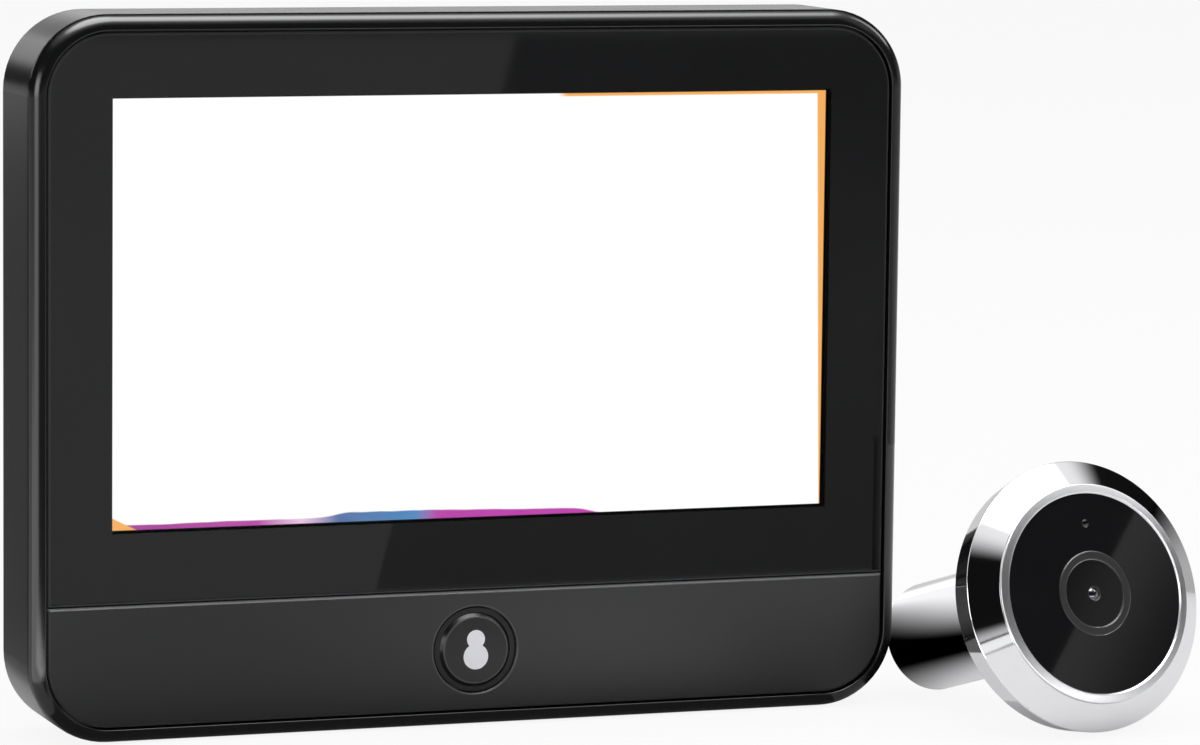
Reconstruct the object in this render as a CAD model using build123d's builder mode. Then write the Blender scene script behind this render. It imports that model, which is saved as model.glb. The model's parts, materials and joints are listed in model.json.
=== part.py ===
from build123d import *

import math
import os

os.makedirs("parts", exist_ok=True)

# All sizes are in mm. The monitor stands on z = 0 and faces -y, with +x to the viewer's right.
# The origin is the centre of the monitor's lower face.

# Monitor, outside
monitor_width = 116.2
monitor_height = 91.0
monitor_depth = 15.6
corner_radius = 10.1
wall = 1.8
back_edge_radius = 1.0

# Front lip and the parting line between the two halves of the housing
lip_depth = 2.2
lip_outer_radius = 2.1
lip_inner_radius = 0.15
parting_gap = 0.1
tongue_thickness = 0.9
tongue_length = 1.35
tongue_clearance = 0.05

# Front plates: the cover glass above, the lower panel below
plate_margin = 2.15
plate_drop = 0.1
plate_recess = 0.3
plate_gap = 0.25
plate_thickness = 1.1
plate_chamfer = 0.3
split_height = 17.45
split_gap = 0.2
panel_chamfer = 0.3
tape_thickness = 0.2
tape_setback = 0.4
shelf_thickness = 1.2

# Display module: it fills the housing between these margins, a 4.3-inch one at this size
display_side_margin = 5.35
display_top_margin = 4.35
display_rise = 2.0
cell_thickness = 1.4
tray_thickness = 1.5
display_clearance = 0.3
active_side_margin = 5.23
active_top_margin = 6.09
active_rise = 7.25
tape_window_margin = 2.0

# View button and its switch
button_height = 9.75
button_hole_radius = 5.6
button_hole_chamfer = 0.12
cap_radius = 4.75
cap_top_radius = 4.0
cap_bevel_drop = 0.6
cap_proud = 0.2
cap_guide_radius = 4.95
flange_radius = 5.9
flange_thickness = 0.8
stem_radius = 2.2
stem_length = 0.45
button_travel = 0.35
icon_thickness = 0.4
icon_head_radius = 1.2
icon_head_rise = 1.38
icon_body_radius = 1.65
icon_body_drop = 0.85
plunger_radius = 1.7
plunger_entry = 0.4
plunger_clearance = 0.05
switch_size = 6.2
switch_height = 2.0

# Chassis behind the display
chassis_gap = 0.1
chassis_thickness = 1.0
chassis_inset = 2.0
chassis_screw_inset = 9.5
chassis_screw_height = 10.0
chassis_boss_radius = 2.4
top_rib_length = 16.0
top_rib_reach = 30.0
switch_window_radius = 5.5
housing_post_radius = 2.5
post_side_margin = 8.5
post_end_margin = 10.5
screw_radius = 1.0
screw_clearance = 0.05
screw_head_radius = 1.9
screw_head_height = 1.0
screw_slot_width = 0.4
screw_slot_depth = 0.45

# Main board
board_thickness = 1.0
standoff_radius = 2.0
board_side_margin = 4.5
board_bottom = 15.5
board_post_gap = 1.6
board_tongue_left = -12.0
board_tongue_right = 28.0
board_tongue_bottom = 4.5
board_hole_inset = 4.0

# Display ribbon
ribbon_width = 20.0
ribbon_thickness = 0.2
ribbon_drop = 1.6
ribbon_bend = 0.6
connector_height = 1.1
connector_length = 3.6
connector_width = 22.0
connector_rise = 3.1

# Packages on the back of the board
shield_size = 22.0
shield_thickness = 1.8
shield_x = 12.0
shield_z = 53.0
shield_corner = 0.8
chip_width = 10.0
chip_length = 8.0
chip_thickness = 1.0
chip_x = 34.0
chip_z = 52.0
chip_pitch = 12.0

# Battery, its lead and its socket
battery_wall_gap = 1.7
battery_recess_gap = 5.3
battery_post_gap = 1.1
battery_back_gap = 1.6
battery_bottom = 26.0
battery_corner = 2.0
battery_tape_thickness = 0.2
battery_lead_length = 4.5
lead_radius = 0.5
lead_pitch = 1.5
lead_rise = 1.0
battery_socket_size = 5.2
battery_socket_length = 7.0
battery_socket_height = 2.0

# Speaker
speaker_radius = 9.0
speaker_thickness = 5.9
speaker_post_reach = 16.0
speaker_z = 14.0
speaker_seat_clearance = 0.2
speaker_ring_wall = 1.0
speaker_ring_height = 2.0
speaker_gasket_thickness = 0.4
speaker_gasket_width = 1.6
speaker_pad_overlap = 3.0
speaker_lead_drop = 2.5
grille_slot_width = 1.2
grille_slot_pitch = 2.6
grille_slot_count = 5
grille_radius = 6.6

# Sockets and switch on the right-hand side
socket_setback = 0.4
socket_clearance = 0.3
socket_back_gap = 2.55
usb_width = 8.94
usb_height = 3.2
usb_length = 7.3
usb_drop = 11.5
usb_wall = 0.35
card_width = 14.0
card_height = 1.5
card_length = 15.0
card_rise = 14.5
card_mouth_width = 11.4
card_mouth_height = 0.9
card_mouth_depth = 12.0
switch_body_length = 8.6
switch_body_width = 4.0
switch_body_height = 2.8
power_switch_drop = 12.5
power_travel = 2.0
knob_width = 1.5
knob_length = 2.0
knob_proud = 0.6
knob_clearance = 0.2
knob_foot_thickness = 0.6
knob_foot_margin = 0.6
knob_pin_length = 1.4
knob_pin_width = 1.0
knob_pin_depth = 0.9
knob_play = 0.1

# Recess in the back for the wall bracket, with two rails that hold it
recess_width = 40.0
recess_height = 44.0
recess_z = 50.0
recess_depth = 1.6
recess_floor = 1.2
recess_corner = 2.0
rail_thickness = 0.6
rail_overhang = 1.6
rail_length = 11.0
rail_pitch = 22.0
camera_socket_width = 10.4
camera_socket_height = 3.0
camera_socket_z = 36.0
camera_socket_mouth_depth = 2.4
camera_socket_wall = 0.7

# Housing screws, sunk into the back
counterbore_radius = 2.2
counterbore_depth = 1.75
boss_radius = 3.2
boss_floor = 1.5

# Outdoor camera. Radii and depths are about its own axis, depths from the front of its lip.
outdoor_gap = 15.9
outdoor_y = -34.95
outdoor_yaw = 9.7
lip_radius_inner = 12.95
lip_radius_outer = 14.1
lip_rounding = 0.4
bevel_start_depth = 0.55
rim_radius = 17.5
rim_depth = 3.0
rim_rounding = 0.3
band_back_radius = 16.8
head_depth = 7.0
head_wall = 1.5
head_cavity_radius = 11.9
fit_gap = 0.05

face_recess = 0.25
face_thickness = 1.2
window_tape_thickness = 0.1
window_hole_radius = 5.45
sound_hole_radius = 0.5
sound_hole_rise = 9.0

lens_ring_outer = 5.4
lens_ring_inner = 4.4
lens_ring_recess = 0.15
dish_edge_recess = 0.3
dish_radius = 4.35
dish_mouth_recess = 0.4
dish_mouth_radius = 1.25
dish_floor_recess = 0.8
lens_radius = 0.7
lens_dome = 0.3
lens_length = 1.2
lens_tube_radius = 3.5
lens_tube_end = 3.0
lens_shoulder_depth = 1.9

sensor_size = 6.0
sensor_thickness = 0.8
sensor_margin = 0.2
holder_size = 9.0
holder_front = 2.1
sensor_board_radius = 11.0
sensor_board_thickness = 0.8
sensor_screw_reach = 9.6
sensor_boss_radius = 1.3
sensor_screw_radius = 0.7
sensor_screw_head_radius = 1.2
sensor_screw_head_height = 0.6
microphone_radius = 1.6
microphone_height = 1.3

barrel_radius = 7.2
barrel_neck_radius = 7.45
barrel_bore = 6.0
barrel_end_depth = 39.5
barrel_flange_radius = 8.2
barrel_flange_thickness = 0.8
barrel_end_chamfer = 0.3

door_gasket_inner = 8.3
door_gasket_outer = 15.5
door_gasket_thickness = 0.8

plug_recess = 0.5
plug_length = 10.0
plug_screw_reach = 4.0
plug_screw_radius = 1.25
plug_screw_depth = 8.0
plug_cable_radius = 1.6
grommet_flange_radius = 2.2
grommet_flange_thickness = 0.5
grommet_shaft_length = 4.0
grommet_bore = 0.9

# Depths through the monitor, from front to back
front_y = -monitor_depth / 2
back_y = monitor_depth / 2
parting_y = front_y + lip_depth
plate_front = front_y + plate_recess
plate_back = plate_front + plate_thickness
shelf_front = plate_back + tape_thickness
shelf_back = shelf_front + shelf_thickness
tongue_back = parting_y + tongue_length
cell_back = shelf_front + cell_thickness
tray_back = cell_back + tray_thickness
chassis_front = tray_back + chassis_gap
chassis_back = chassis_front + chassis_thickness
inner_back = back_y - wall
board_back = inner_back - socket_back_gap - usb_height
board_front = board_back - board_thickness
battery_back = inner_back - battery_back_gap
recess_floor_y = back_y - recess_depth
recess_inner_y = recess_floor_y - recess_floor
speaker_back = inner_back - speaker_gasket_thickness
speaker_front = speaker_back - speaker_thickness
screw_seat = back_y - counterbore_depth
post_end = screw_seat - boss_floor

# Outlines of the monitor, as distances in from its outside
lip_inset = plate_margin - plate_gap
rebate_inset = wall - tongue_thickness - tongue_clearance
tongue_inset = rebate_inset + tongue_clearance
skirt_inset = tongue_inset + tongue_thickness + 2 * tongue_clearance

# The display, from side to side and from its lower edge up
display_width = monitor_width - 2 * display_side_margin
display_bottom = split_height + display_rise
display_height = monitor_height - display_top_margin - display_bottom
display_z = display_bottom + display_height / 2
active_width = display_width - 2 * active_side_margin
active_height = display_height - active_top_margin - active_rise
active_z = display_bottom + active_rise + active_height / 2
top_rib_bottom = display_bottom + display_height + display_clearance
side_wall_inside = monitor_width / 2 - wall

# Battery to the left of the recess, board to its right with the sockets along its edge
post_reach = monitor_width / 2 - post_side_margin
post_high = monitor_height - post_end_margin
battery_left = battery_wall_gap - side_wall_inside
battery_edge = -recess_width / 2 - recess_floor - battery_recess_gap
battery_x = (battery_left + battery_edge) / 2
battery_width = battery_edge - battery_left
battery_height = post_high - boss_radius - battery_post_gap - battery_bottom
battery_z = battery_bottom + battery_height / 2
battery_front = chassis_back + battery_tape_thickness
board_left = battery_edge + battery_lead_length
board_right = monitor_width / 2 - board_side_margin
board_top = post_high - boss_radius - board_post_gap
power_switch_z = board_top - power_switch_drop
usb_z = power_switch_z - usb_drop
card_z = board_bottom + card_rise
speaker_x = speaker_post_reach - post_reach
chassis_screw_reach = post_reach - chassis_screw_inset

# Fixing points
post_places = [(x, z) for x in (-post_reach, post_reach) for z in (post_end_margin, post_high)]
chassis_screw_places = [(x, chassis_screw_height) for x in (-chassis_screw_reach, chassis_screw_reach)]
board_screw_places = [
    (x, z)
    for x in (board_left + board_hole_inset, board_right - board_hole_inset)
    for z in (board_bottom + board_hole_inset, board_top - board_hole_inset)
]

# A piece that lies on something in front of it, or behind it, and one that stands in from the right
lying_back = (Align.CENTER, Align.MIN, Align.CENTER)
lying_front = (Align.CENTER, Align.MAX, Align.CENTER)
reaching_left = (Align.MAX, Align.MIN, Align.CENTER)


def front_plane(depth):
    """Plane that faces the viewer at a depth, with x to the right and z up."""
    return Plane(origin=(0, depth, 0), x_dir=(1, 0, 0), z_dir=(0, -1, 0))


def side_plane(reach):
    """Plane that faces right at a distance from the middle, with y back and z up."""
    return Plane(origin=(reach, 0, 0), x_dir=(0, 1, 0), z_dir=(1, 0, 0))


def outline(inset, depth, drop=0.0):
    """The monitor's front outline at a depth, drawn in by inset and lowered by drop."""
    with BuildSketch(front_plane(depth)) as face:
        with Locations((0, monitor_height / 2 - drop)):
            RectangleRounded(
                monitor_width - 2 * inset, monitor_height - 2 * inset, corner_radius - inset
            )
    return face.sketch


def plate_outline(inset, bottom, top, depth):
    """The part of the front plates' outline that lies between two heights, drawn in by inset."""
    with BuildSketch(front_plane(depth)) as face:
        with Locations((0, monitor_height / 2 - plate_drop)):
            RectangleRounded(
                monitor_width - 2 * inset, monitor_height - 2 * inset, corner_radius - inset
            )
        with Locations((0, (bottom + top) / 2)):
            Rectangle(monitor_width, top - bottom, mode=Mode.INTERSECT)
    return face.sketch


def block_face(width, height, z, depth):
    """Rectangle centred on the monitor's middle line at a height."""
    with BuildSketch(front_plane(depth)) as face:
        with Locations((0, z)):
            Rectangle(width, height)
    return face.sketch


def discs(radius, places, depth):
    """Circles at (x, z) places."""
    with BuildSketch(front_plane(depth)) as face:
        with Locations(*places):
            Circle(radius)
    return face.sketch


def screw_set(places, seat, tip):
    """Cross-headed screws whose heads bear on a seat, with plain shanks down to their tips."""
    with BuildPart() as screws:
        extrude(discs(screw_radius, places, seat), amount=seat - tip)
        extrude(discs(screw_head_radius, places, seat), amount=-screw_head_height)
        with Locations(*[(x, seat + screw_head_height, z) for x, z in places]):
            Box(
                2 * screw_radius,
                screw_slot_depth,
                screw_slot_width,
                align=lying_front,
                mode=Mode.SUBTRACT,
            )
            Box(
                screw_slot_width,
                screw_slot_depth,
                2 * screw_radius,
                align=lying_front,
                mode=Mode.SUBTRACT,
            )
    return screws.part


# Front frame: rounded lip, ledge under the front plates, tongue, chassis bosses and top ribs
with BuildPart() as front_frame:
    extrude(outline(0, parting_y), amount=lip_depth)
    fillet(front_frame.edges().group_by(Axis.Y)[0], lip_outer_radius)
    extrude(outline(tongue_inset, tongue_back), amount=tongue_length)
    extrude(
        outline(lip_inset, shelf_front, plate_drop),
        amount=shelf_front - front_y,
        mode=Mode.SUBTRACT,
    )
    lip_mouth = front_frame.edges(Select.LAST).group_by(Axis.Y)[0]
    fillet(lip_mouth, lip_inner_radius)
    extrude(
        outline(skirt_inset, tongue_back), amount=tongue_back - shelf_back, mode=Mode.SUBTRACT
    )
    opening = block_face(
        display_width + 2 * display_clearance,
        display_height + 2 * display_clearance,
        display_z,
        shelf_back,
    )
    extrude(opening, amount=shelf_thickness, mode=Mode.SUBTRACT)
    extrude(discs(chassis_boss_radius, chassis_screw_places, chassis_front), amount=chassis_front - shelf_back)
    for side in (-1, 1):
        with Locations((side * top_rib_reach, shelf_back, top_rib_bottom)):
            Box(
                top_rib_length,
                chassis_front - shelf_back,
                monitor_height - skirt_inset - top_rib_bottom,
                align=(Align.CENTER, Align.MIN, Align.MIN),
            )
    extrude(
        discs(screw_radius + screw_clearance, chassis_screw_places, chassis_front),
        amount=chassis_front - shelf_front - tape_thickness,
        mode=Mode.SUBTRACT,
    )
    extrude(
        discs(cap_guide_radius, [(0, button_height)], shelf_back),
        amount=shelf_thickness,
        mode=Mode.SUBTRACT,
    )
front_frame.part.label = "front_frame"
export_step(front_frame.part, "parts/front_frame.step")

# Rear housing: deep shell with the bracket recess, speaker seat, screw bosses and side openings
rear_front = parting_y + parting_gap
with BuildPart() as rear_housing:
    extrude(outline(0, back_y), amount=back_y - rear_front)
    fillet(rear_housing.edges().group_by(Axis.Y)[-1], back_edge_radius)
    extrude(outline(wall, inner_back), amount=inner_back - rear_front, mode=Mode.SUBTRACT)
    rebate_depth = tongue_back + parting_gap
    extrude(
        outline(rebate_inset, rebate_depth), amount=rebate_depth - rear_front, mode=Mode.SUBTRACT
    )

    # Recess for the bracket, with its floor and walls inside the shell
    with BuildSketch(front_plane(inner_back)):
        with Locations((0, recess_z)):
            RectangleRounded(
                recess_width + 2 * recess_floor,
                recess_height + 2 * recess_floor,
                recess_corner + recess_floor,
            )
    extrude(amount=inner_back - recess_inner_y)
    with BuildSketch(front_plane(back_y)):
        with Locations((0, recess_z)):
            RectangleRounded(recess_width, recess_height, recess_corner)
    extrude(amount=recess_depth, mode=Mode.SUBTRACT)
    for side in (-1, 1):
        for step in (-1, 1):
            with Locations((side * recess_width / 2, back_y, recess_z + step * rail_pitch / 2)):
                Box(2 * rail_overhang, rail_thickness, rail_length, align=lying_front)

    # Opening through which the outdoor camera's ribbon is plugged in
    with Locations((0, back_y, camera_socket_z)):
        Box(
            camera_socket_width + 2 * socket_clearance,
            back_y - recess_inner_y,
            camera_socket_height + 2 * socket_clearance,
            align=lying_front,
            mode=Mode.SUBTRACT,
        )

    # Screw bosses with sunk heads
    extrude(discs(boss_radius, post_places, inner_back), amount=inner_back - post_end)
    extrude(
        discs(counterbore_radius, post_places, back_y),
        amount=counterbore_depth,
        mode=Mode.SUBTRACT,
    )
    extrude(
        discs(screw_radius + 2 * screw_clearance, post_places, screw_seat),
        amount=screw_seat - post_end,
        mode=Mode.SUBTRACT,
    )

    # Speaker seat and grille
    seat_radius = speaker_radius + speaker_seat_clearance
    with BuildSketch(front_plane(inner_back)):
        with Locations((speaker_x, speaker_z)):
            Circle(seat_radius + speaker_ring_wall)
            Circle(seat_radius, mode=Mode.SUBTRACT)
    extrude(amount=speaker_ring_height)
    with BuildSketch(front_plane(back_y)):
        for step in range(grille_slot_count):
            rise = (step - (grille_slot_count - 1) / 2) * grille_slot_pitch
            with Locations((speaker_x, speaker_z + rise)):
                SlotOverall(2 * math.sqrt(grille_radius**2 - rise**2), grille_slot_width)
    extrude(amount=wall, mode=Mode.SUBTRACT)

    # Openings in the right-hand side
    with BuildSketch(side_plane(monitor_width / 2)):
        with Locations((board_back + usb_height / 2, usb_z)):
            SlotOverall(
                usb_width + 2 * socket_clearance, usb_height + 2 * socket_clearance, rotation=90
            )
        with Locations((board_back + card_height / 2, card_z)):
            SlotOverall(
                card_mouth_width + 2 * socket_clearance,
                card_mouth_height + 2 * socket_clearance,
                rotation=90,
            )
        with Locations((board_back + switch_body_height / 2, power_switch_z)):
            Rectangle(
                knob_width + 2 * knob_clearance,
                knob_length + power_travel + 2 * knob_clearance,
            )
    extrude(amount=-wall, mode=Mode.SUBTRACT)
rear_housing.part.label = "rear_housing"
export_step(rear_housing.part, "parts/rear_housing.step")

# Cover glass: upper front plate with a fine bevel all round
glass_bottom = split_height + split_gap / 2
with BuildPart() as cover_glass:
    extrude(plate_outline(plate_margin, glass_bottom, monitor_height, plate_back), amount=plate_thickness)
    chamfer(cover_glass.edges().group_by(Axis.Y)[0], plate_chamfer)
cover_glass.part.label = "cover_glass"
export_step(cover_glass.part, "parts/cover_glass.step")

# Lower panel: front strip with the round hole for the view button
panel_top = split_height - split_gap / 2
with BuildPart() as lower_panel:
    extrude(plate_outline(plate_margin, 0, panel_top, plate_back), amount=plate_thickness)
    chamfer(lower_panel.edges().group_by(Axis.Y)[0], panel_chamfer)
    extrude(
        discs(button_hole_radius, [(0, button_height)], plate_back),
        amount=plate_thickness,
        mode=Mode.SUBTRACT,
    )
    chamfer(lower_panel.edges(Select.LAST).group_by(Axis.Y)[0], button_hole_chamfer)
lower_panel.part.label = "lower_panel"
export_step(lower_panel.part, "parts/lower_panel.step")

# Adhesive frame behind the glass, which also takes the display's border
with BuildPart() as glass_tape:
    extrude(
        plate_outline(
            plate_margin + tape_setback, glass_bottom + tape_setback, monitor_height, shelf_front
        ),
        amount=tape_thickness,
    )
    view_window = block_face(
        active_width + 2 * tape_window_margin,
        active_height + 2 * tape_window_margin,
        active_z,
        shelf_front,
    )
    extrude(view_window, amount=tape_thickness, mode=Mode.SUBTRACT)
glass_tape.part.label = "glass_tape"
export_step(glass_tape.part, "parts/glass_tape.step")

# Adhesive behind the lower panel
with BuildPart() as panel_tape:
    extrude(
        plate_outline(plate_margin + tape_setback, 0, panel_top - tape_setback, shelf_front),
        amount=tape_thickness,
    )
    extrude(
        discs(button_hole_radius + tape_setback, [(0, button_height)], shelf_front),
        amount=tape_thickness,
        mode=Mode.SUBTRACT,
    )
panel_tape.part.label = "panel_tape"
export_step(panel_tape.part, "parts/panel_tape.step")

# Display: glass cell in front of its backlight tray
with BuildPart() as display_cell:
    extrude(block_face(display_width, display_height, display_z, cell_back), amount=cell_thickness)
display_cell.part.label = "display_cell"
export_step(display_cell.part, "parts/display_cell.step")

with BuildPart() as backlight_tray:
    extrude(block_face(display_width, display_height, display_z, tray_back), amount=tray_thickness)
    fillet(backlight_tray.edges().filter_by(Axis.Y), display_clearance)
backlight_tray.part.label = "backlight_tray"
export_step(backlight_tray.part, "parts/backlight_tray.step")

# Chassis: plate behind the display with posts for the housing screws and standoffs for the board
slot_height = display_bottom - ribbon_drop
with BuildPart() as display_chassis:
    extrude(outline(chassis_inset, chassis_back), amount=chassis_thickness)
    extrude(discs(housing_post_radius, post_places, post_end), amount=post_end - chassis_back)
    extrude(
        discs(standoff_radius, board_screw_places, board_front), amount=board_front - chassis_back
    )
    extrude(
        discs(screw_radius + screw_clearance, post_places + board_screw_places, post_end),
        amount=post_end - chassis_front,
        mode=Mode.SUBTRACT,
    )
    extrude(
        discs(screw_radius + screw_clearance, chassis_screw_places, chassis_back),
        amount=chassis_thickness,
        mode=Mode.SUBTRACT,
    )
    extrude(
        discs(switch_window_radius, [(0, button_height)], chassis_back),
        amount=chassis_thickness,
        mode=Mode.SUBTRACT,
    )
    extrude(
        block_face(ribbon_width + 2 * ribbon_bend, 2 * ribbon_bend, slot_height, chassis_back),
        amount=chassis_thickness,
        mode=Mode.SUBTRACT,
    )
display_chassis.part.label = "display_chassis"
export_step(display_chassis.part, "parts/display_chassis.step")

# Flat cable from the display's lower edge, through the chassis and up to the board
connector_z = display_bottom + connector_rise
connector_bottom = connector_z - connector_length / 2
ribbon_front = cell_back
ribbon_back = board_front - connector_height / 2
with BuildPart() as display_ribbon:
    with BuildSketch(Plane.YZ.offset(-ribbon_width / 2)):
        with BuildLine():
            FilletPolyline(
                (ribbon_front, display_bottom),
                (ribbon_front, slot_height),
                (ribbon_back, slot_height),
                (ribbon_back, connector_bottom),
                radius=ribbon_bend,
            )
        trace(line_width=ribbon_thickness)
    extrude(amount=ribbon_width)
display_ribbon.part.label = "display_ribbon"
export_step(display_ribbon.part, "parts/display_ribbon.step")

with BuildPart() as display_connector:
    with Locations((0, board_front, connector_z)):
        Box(connector_width, connector_height, connector_length, align=lying_front)
display_connector.part.label = "display_connector"
export_step(display_connector.part, "parts/display_connector.step")

# Main board: wide part behind the display, with a tongue down to the view button's switch
with BuildPart() as main_board:
    with BuildSketch(front_plane(board_back)):
        with Locations(((board_left + board_right) / 2, (board_bottom + board_top) / 2)):
            Rectangle(board_right - board_left, board_top - board_bottom)
        with Locations(
            ((board_tongue_left + board_tongue_right) / 2, (board_tongue_bottom + board_bottom) / 2)
        ):
            Rectangle(board_tongue_right - board_tongue_left, board_bottom - board_tongue_bottom)
    extrude(amount=board_thickness)
    extrude(
        discs(screw_radius + 2 * screw_clearance, board_screw_places, board_back),
        amount=board_thickness,
        mode=Mode.SUBTRACT,
    )
main_board.part.label = "main_board"
export_step(main_board.part, "parts/main_board.step")

with BuildPart() as processor_shield:
    with Locations((shield_x, board_back, shield_z)):
        Box(shield_size, shield_thickness, shield_size, align=lying_back)
    fillet(processor_shield.edges().filter_by(Axis.Y), shield_corner)
processor_shield.part.label = "processor_shield"
export_step(processor_shield.part, "parts/processor_shield.step")

with BuildPart() as memory_chips:
    with Locations(*[(chip_x, board_back, chip_z + step * chip_pitch / 2) for step in (-1, 1)]):
        Box(chip_width, chip_thickness, chip_length, align=lying_back)
memory_chips.part.label = "memory_chips"
export_step(memory_chips.part, "parts/memory_chips.step")

# Battery on the chassis, with a two-wire lead to its socket on the board
with BuildPart() as battery_tape:
    with Locations((battery_x, chassis_back, battery_z)):
        Box(
            battery_width - 2 * battery_corner,
            battery_tape_thickness,
            battery_height - 2 * battery_corner,
            align=lying_back,
        )
battery_tape.part.label = "battery_tape"
export_step(battery_tape.part, "parts/battery_tape.step")

with BuildPart() as battery:
    with Locations((battery_x, battery_front, battery_z)):
        Box(battery_width, battery_back - battery_front, battery_height, align=lying_back)
    fillet(battery.edges().filter_by(Axis.Z), battery_corner)
battery.part.label = "battery"
export_step(battery.part, "parts/battery.step")

with BuildPart() as battery_socket:
    with Locations((board_left, board_back, battery_z)):
        Box(
            battery_socket_size,
            battery_socket_height,
            battery_socket_length,
            align=(Align.MIN, Align.MIN, Align.CENTER),
        )
battery_socket.part.label = "battery_socket"
export_step(battery_socket.part, "parts/battery_socket.step")

with BuildPart() as battery_lead:
    with BuildSketch(side_plane(battery_edge)):
        with Locations(
            *[(board_back + lead_rise, battery_z + step * lead_pitch / 2) for step in (-1, 1)]
        ):
            Circle(lead_radius)
    extrude(amount=board_left - battery_edge)
battery_lead.part.label = "battery_lead"
export_step(battery_lead.part, "parts/battery_lead.step")

# Speaker in its seat at the back, on a foam gasket, with a two-wire lead to the board
with BuildPart() as speaker:
    extrude(
        discs(speaker_radius, [(speaker_x, speaker_z)], speaker_back), amount=speaker_thickness
    )
    chamfer(speaker.edges().group_by(Axis.Y)[0], speaker_ring_wall)
speaker.part.label = "speaker"
export_step(speaker.part, "parts/speaker.step")

with BuildPart() as speaker_gasket:
    with BuildSketch(front_plane(inner_back)):
        with Locations((speaker_x, speaker_z)):
            Circle(speaker_radius)
            Circle(speaker_radius - speaker_gasket_width, mode=Mode.SUBTRACT)
    extrude(amount=speaker_gasket_thickness)
speaker_gasket.part.label = "speaker_gasket"
export_step(speaker_gasket.part, "parts/speaker_gasket.step")

speaker_edge = speaker_x + speaker_radius
with BuildPart() as speaker_lead:
    with BuildSketch(side_plane(speaker_edge)):
        with Locations(
            *[
                (board_back + lead_radius, speaker_z - speaker_lead_drop + step * lead_pitch / 2)
                for step in (-1, 1)
            ]
        ):
            Circle(lead_radius)
    extrude(amount=board_tongue_left + speaker_pad_overlap - speaker_edge)
speaker_lead.part.label = "speaker_lead"
export_step(speaker_lead.part, "parts/speaker_lead.step")

# View button: cap with a retaining flange and stem, white icon, and the switch's plunger
cap_top = plate_front - cap_proud
flange_back = shelf_back + flange_thickness
stem_end = flange_back + stem_length
with BuildPart() as button_cap:
    extrude(discs(cap_radius, [(0, button_height)], shelf_back), amount=shelf_back - cap_top)
    chamfer(
        button_cap.edges().group_by(Axis.Y)[0], cap_bevel_drop, cap_radius - cap_top_radius
    )
    extrude(discs(flange_radius, [(0, button_height)], flange_back), amount=flange_thickness)
    extrude(discs(stem_radius, [(0, button_height)], stem_end), amount=stem_length)
    with BuildSketch(front_plane(cap_top + icon_thickness)) as icon_face:
        with Locations((0, button_height + icon_head_rise)):
            Circle(icon_head_radius)
        with Locations((0, button_height - icon_body_drop)):
            Circle(icon_body_radius)
    extrude(amount=icon_thickness, mode=Mode.SUBTRACT)
button_cap.part.label = "button_cap"
export_step(button_cap.part, "parts/button_cap.step")

with BuildPart() as button_icon:
    extrude(icon_face.sketch, amount=icon_thickness)
button_icon.part.label = "button_icon"
export_step(button_icon.part, "parts/button_icon.step")

switch_front = board_front - switch_height
plunger_end = switch_front + plunger_entry
with BuildPart() as button_plunger:
    extrude(discs(plunger_radius, [(0, button_height)], plunger_end), amount=plunger_end - stem_end)
button_plunger.part.label = "button_plunger"
export_step(button_plunger.part, "parts/button_plunger.step")

with BuildPart() as tact_switch:
    with Locations((0, board_front, button_height)):
        Box(switch_size, switch_height, switch_size, align=lying_front)
    extrude(
        discs(plunger_radius + plunger_clearance, [(0, button_height)], plunger_end + 2 * button_travel),
        amount=plunger_entry + 2 * button_travel,
        mode=Mode.SUBTRACT,
    )
tact_switch.part.label = "tact_switch"
export_step(tact_switch.part, "parts/tact_switch.step")

# Sockets on the right-hand side, each just inside its opening
socket_face = monitor_width / 2 - socket_setback
with BuildPart() as usb_socket:
    with BuildSketch(side_plane(socket_face)):
        with Locations((board_back + usb_height / 2, usb_z)):
            SlotOverall(usb_width, usb_height, rotation=90)
    extrude(amount=-usb_length)
    with BuildSketch(side_plane(socket_face)):
        with Locations((board_back + usb_height / 2, usb_z)):
            SlotOverall(usb_width - 2 * usb_wall, usb_height - 2 * usb_wall, rotation=90)
            SlotOverall(
                usb_width - usb_height, usb_wall * 2, rotation=90, mode=Mode.SUBTRACT
            )
    extrude(amount=-usb_length + usb_wall, mode=Mode.SUBTRACT)
usb_socket.part.label = "usb_socket"
export_step(usb_socket.part, "parts/usb_socket.step")

with BuildPart() as card_socket:
    with Locations((socket_face - wall, board_back, card_z)):
        Box(card_length, card_height, card_width, align=reaching_left)
    with Locations((socket_face - wall, board_back + (card_height - card_mouth_height) / 2, card_z)):
        Box(
            card_mouth_depth,
            card_mouth_height,
            card_mouth_width,
            align=reaching_left,
            mode=Mode.SUBTRACT,
        )
card_socket.part.label = "card_socket"
export_step(card_socket.part, "parts/card_socket.step")

# Power switch on the board, and its sliding knob, stored at the lower end of its travel
knob_y = board_back + switch_body_height / 2
knob_z = power_switch_z - power_travel / 2
foot_outside = side_wall_inside - knob_play
switch_face = foot_outside - knob_foot_thickness - knob_play
with BuildPart() as power_switch:
    with Locations((switch_face, board_back, power_switch_z)):
        Box(switch_body_width, switch_body_height, switch_body_length, align=reaching_left)
    with Locations((switch_face, knob_y, power_switch_z)):
        Box(
            knob_pin_depth + knob_play,
            knob_pin_width + 2 * knob_play,
            knob_pin_length + power_travel + 2 * knob_play,
            align=(Align.MAX, Align.CENTER, Align.CENTER),
            mode=Mode.SUBTRACT,
        )
power_switch.part.label = "power_switch"
export_step(power_switch.part, "parts/power_switch.step")

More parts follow.
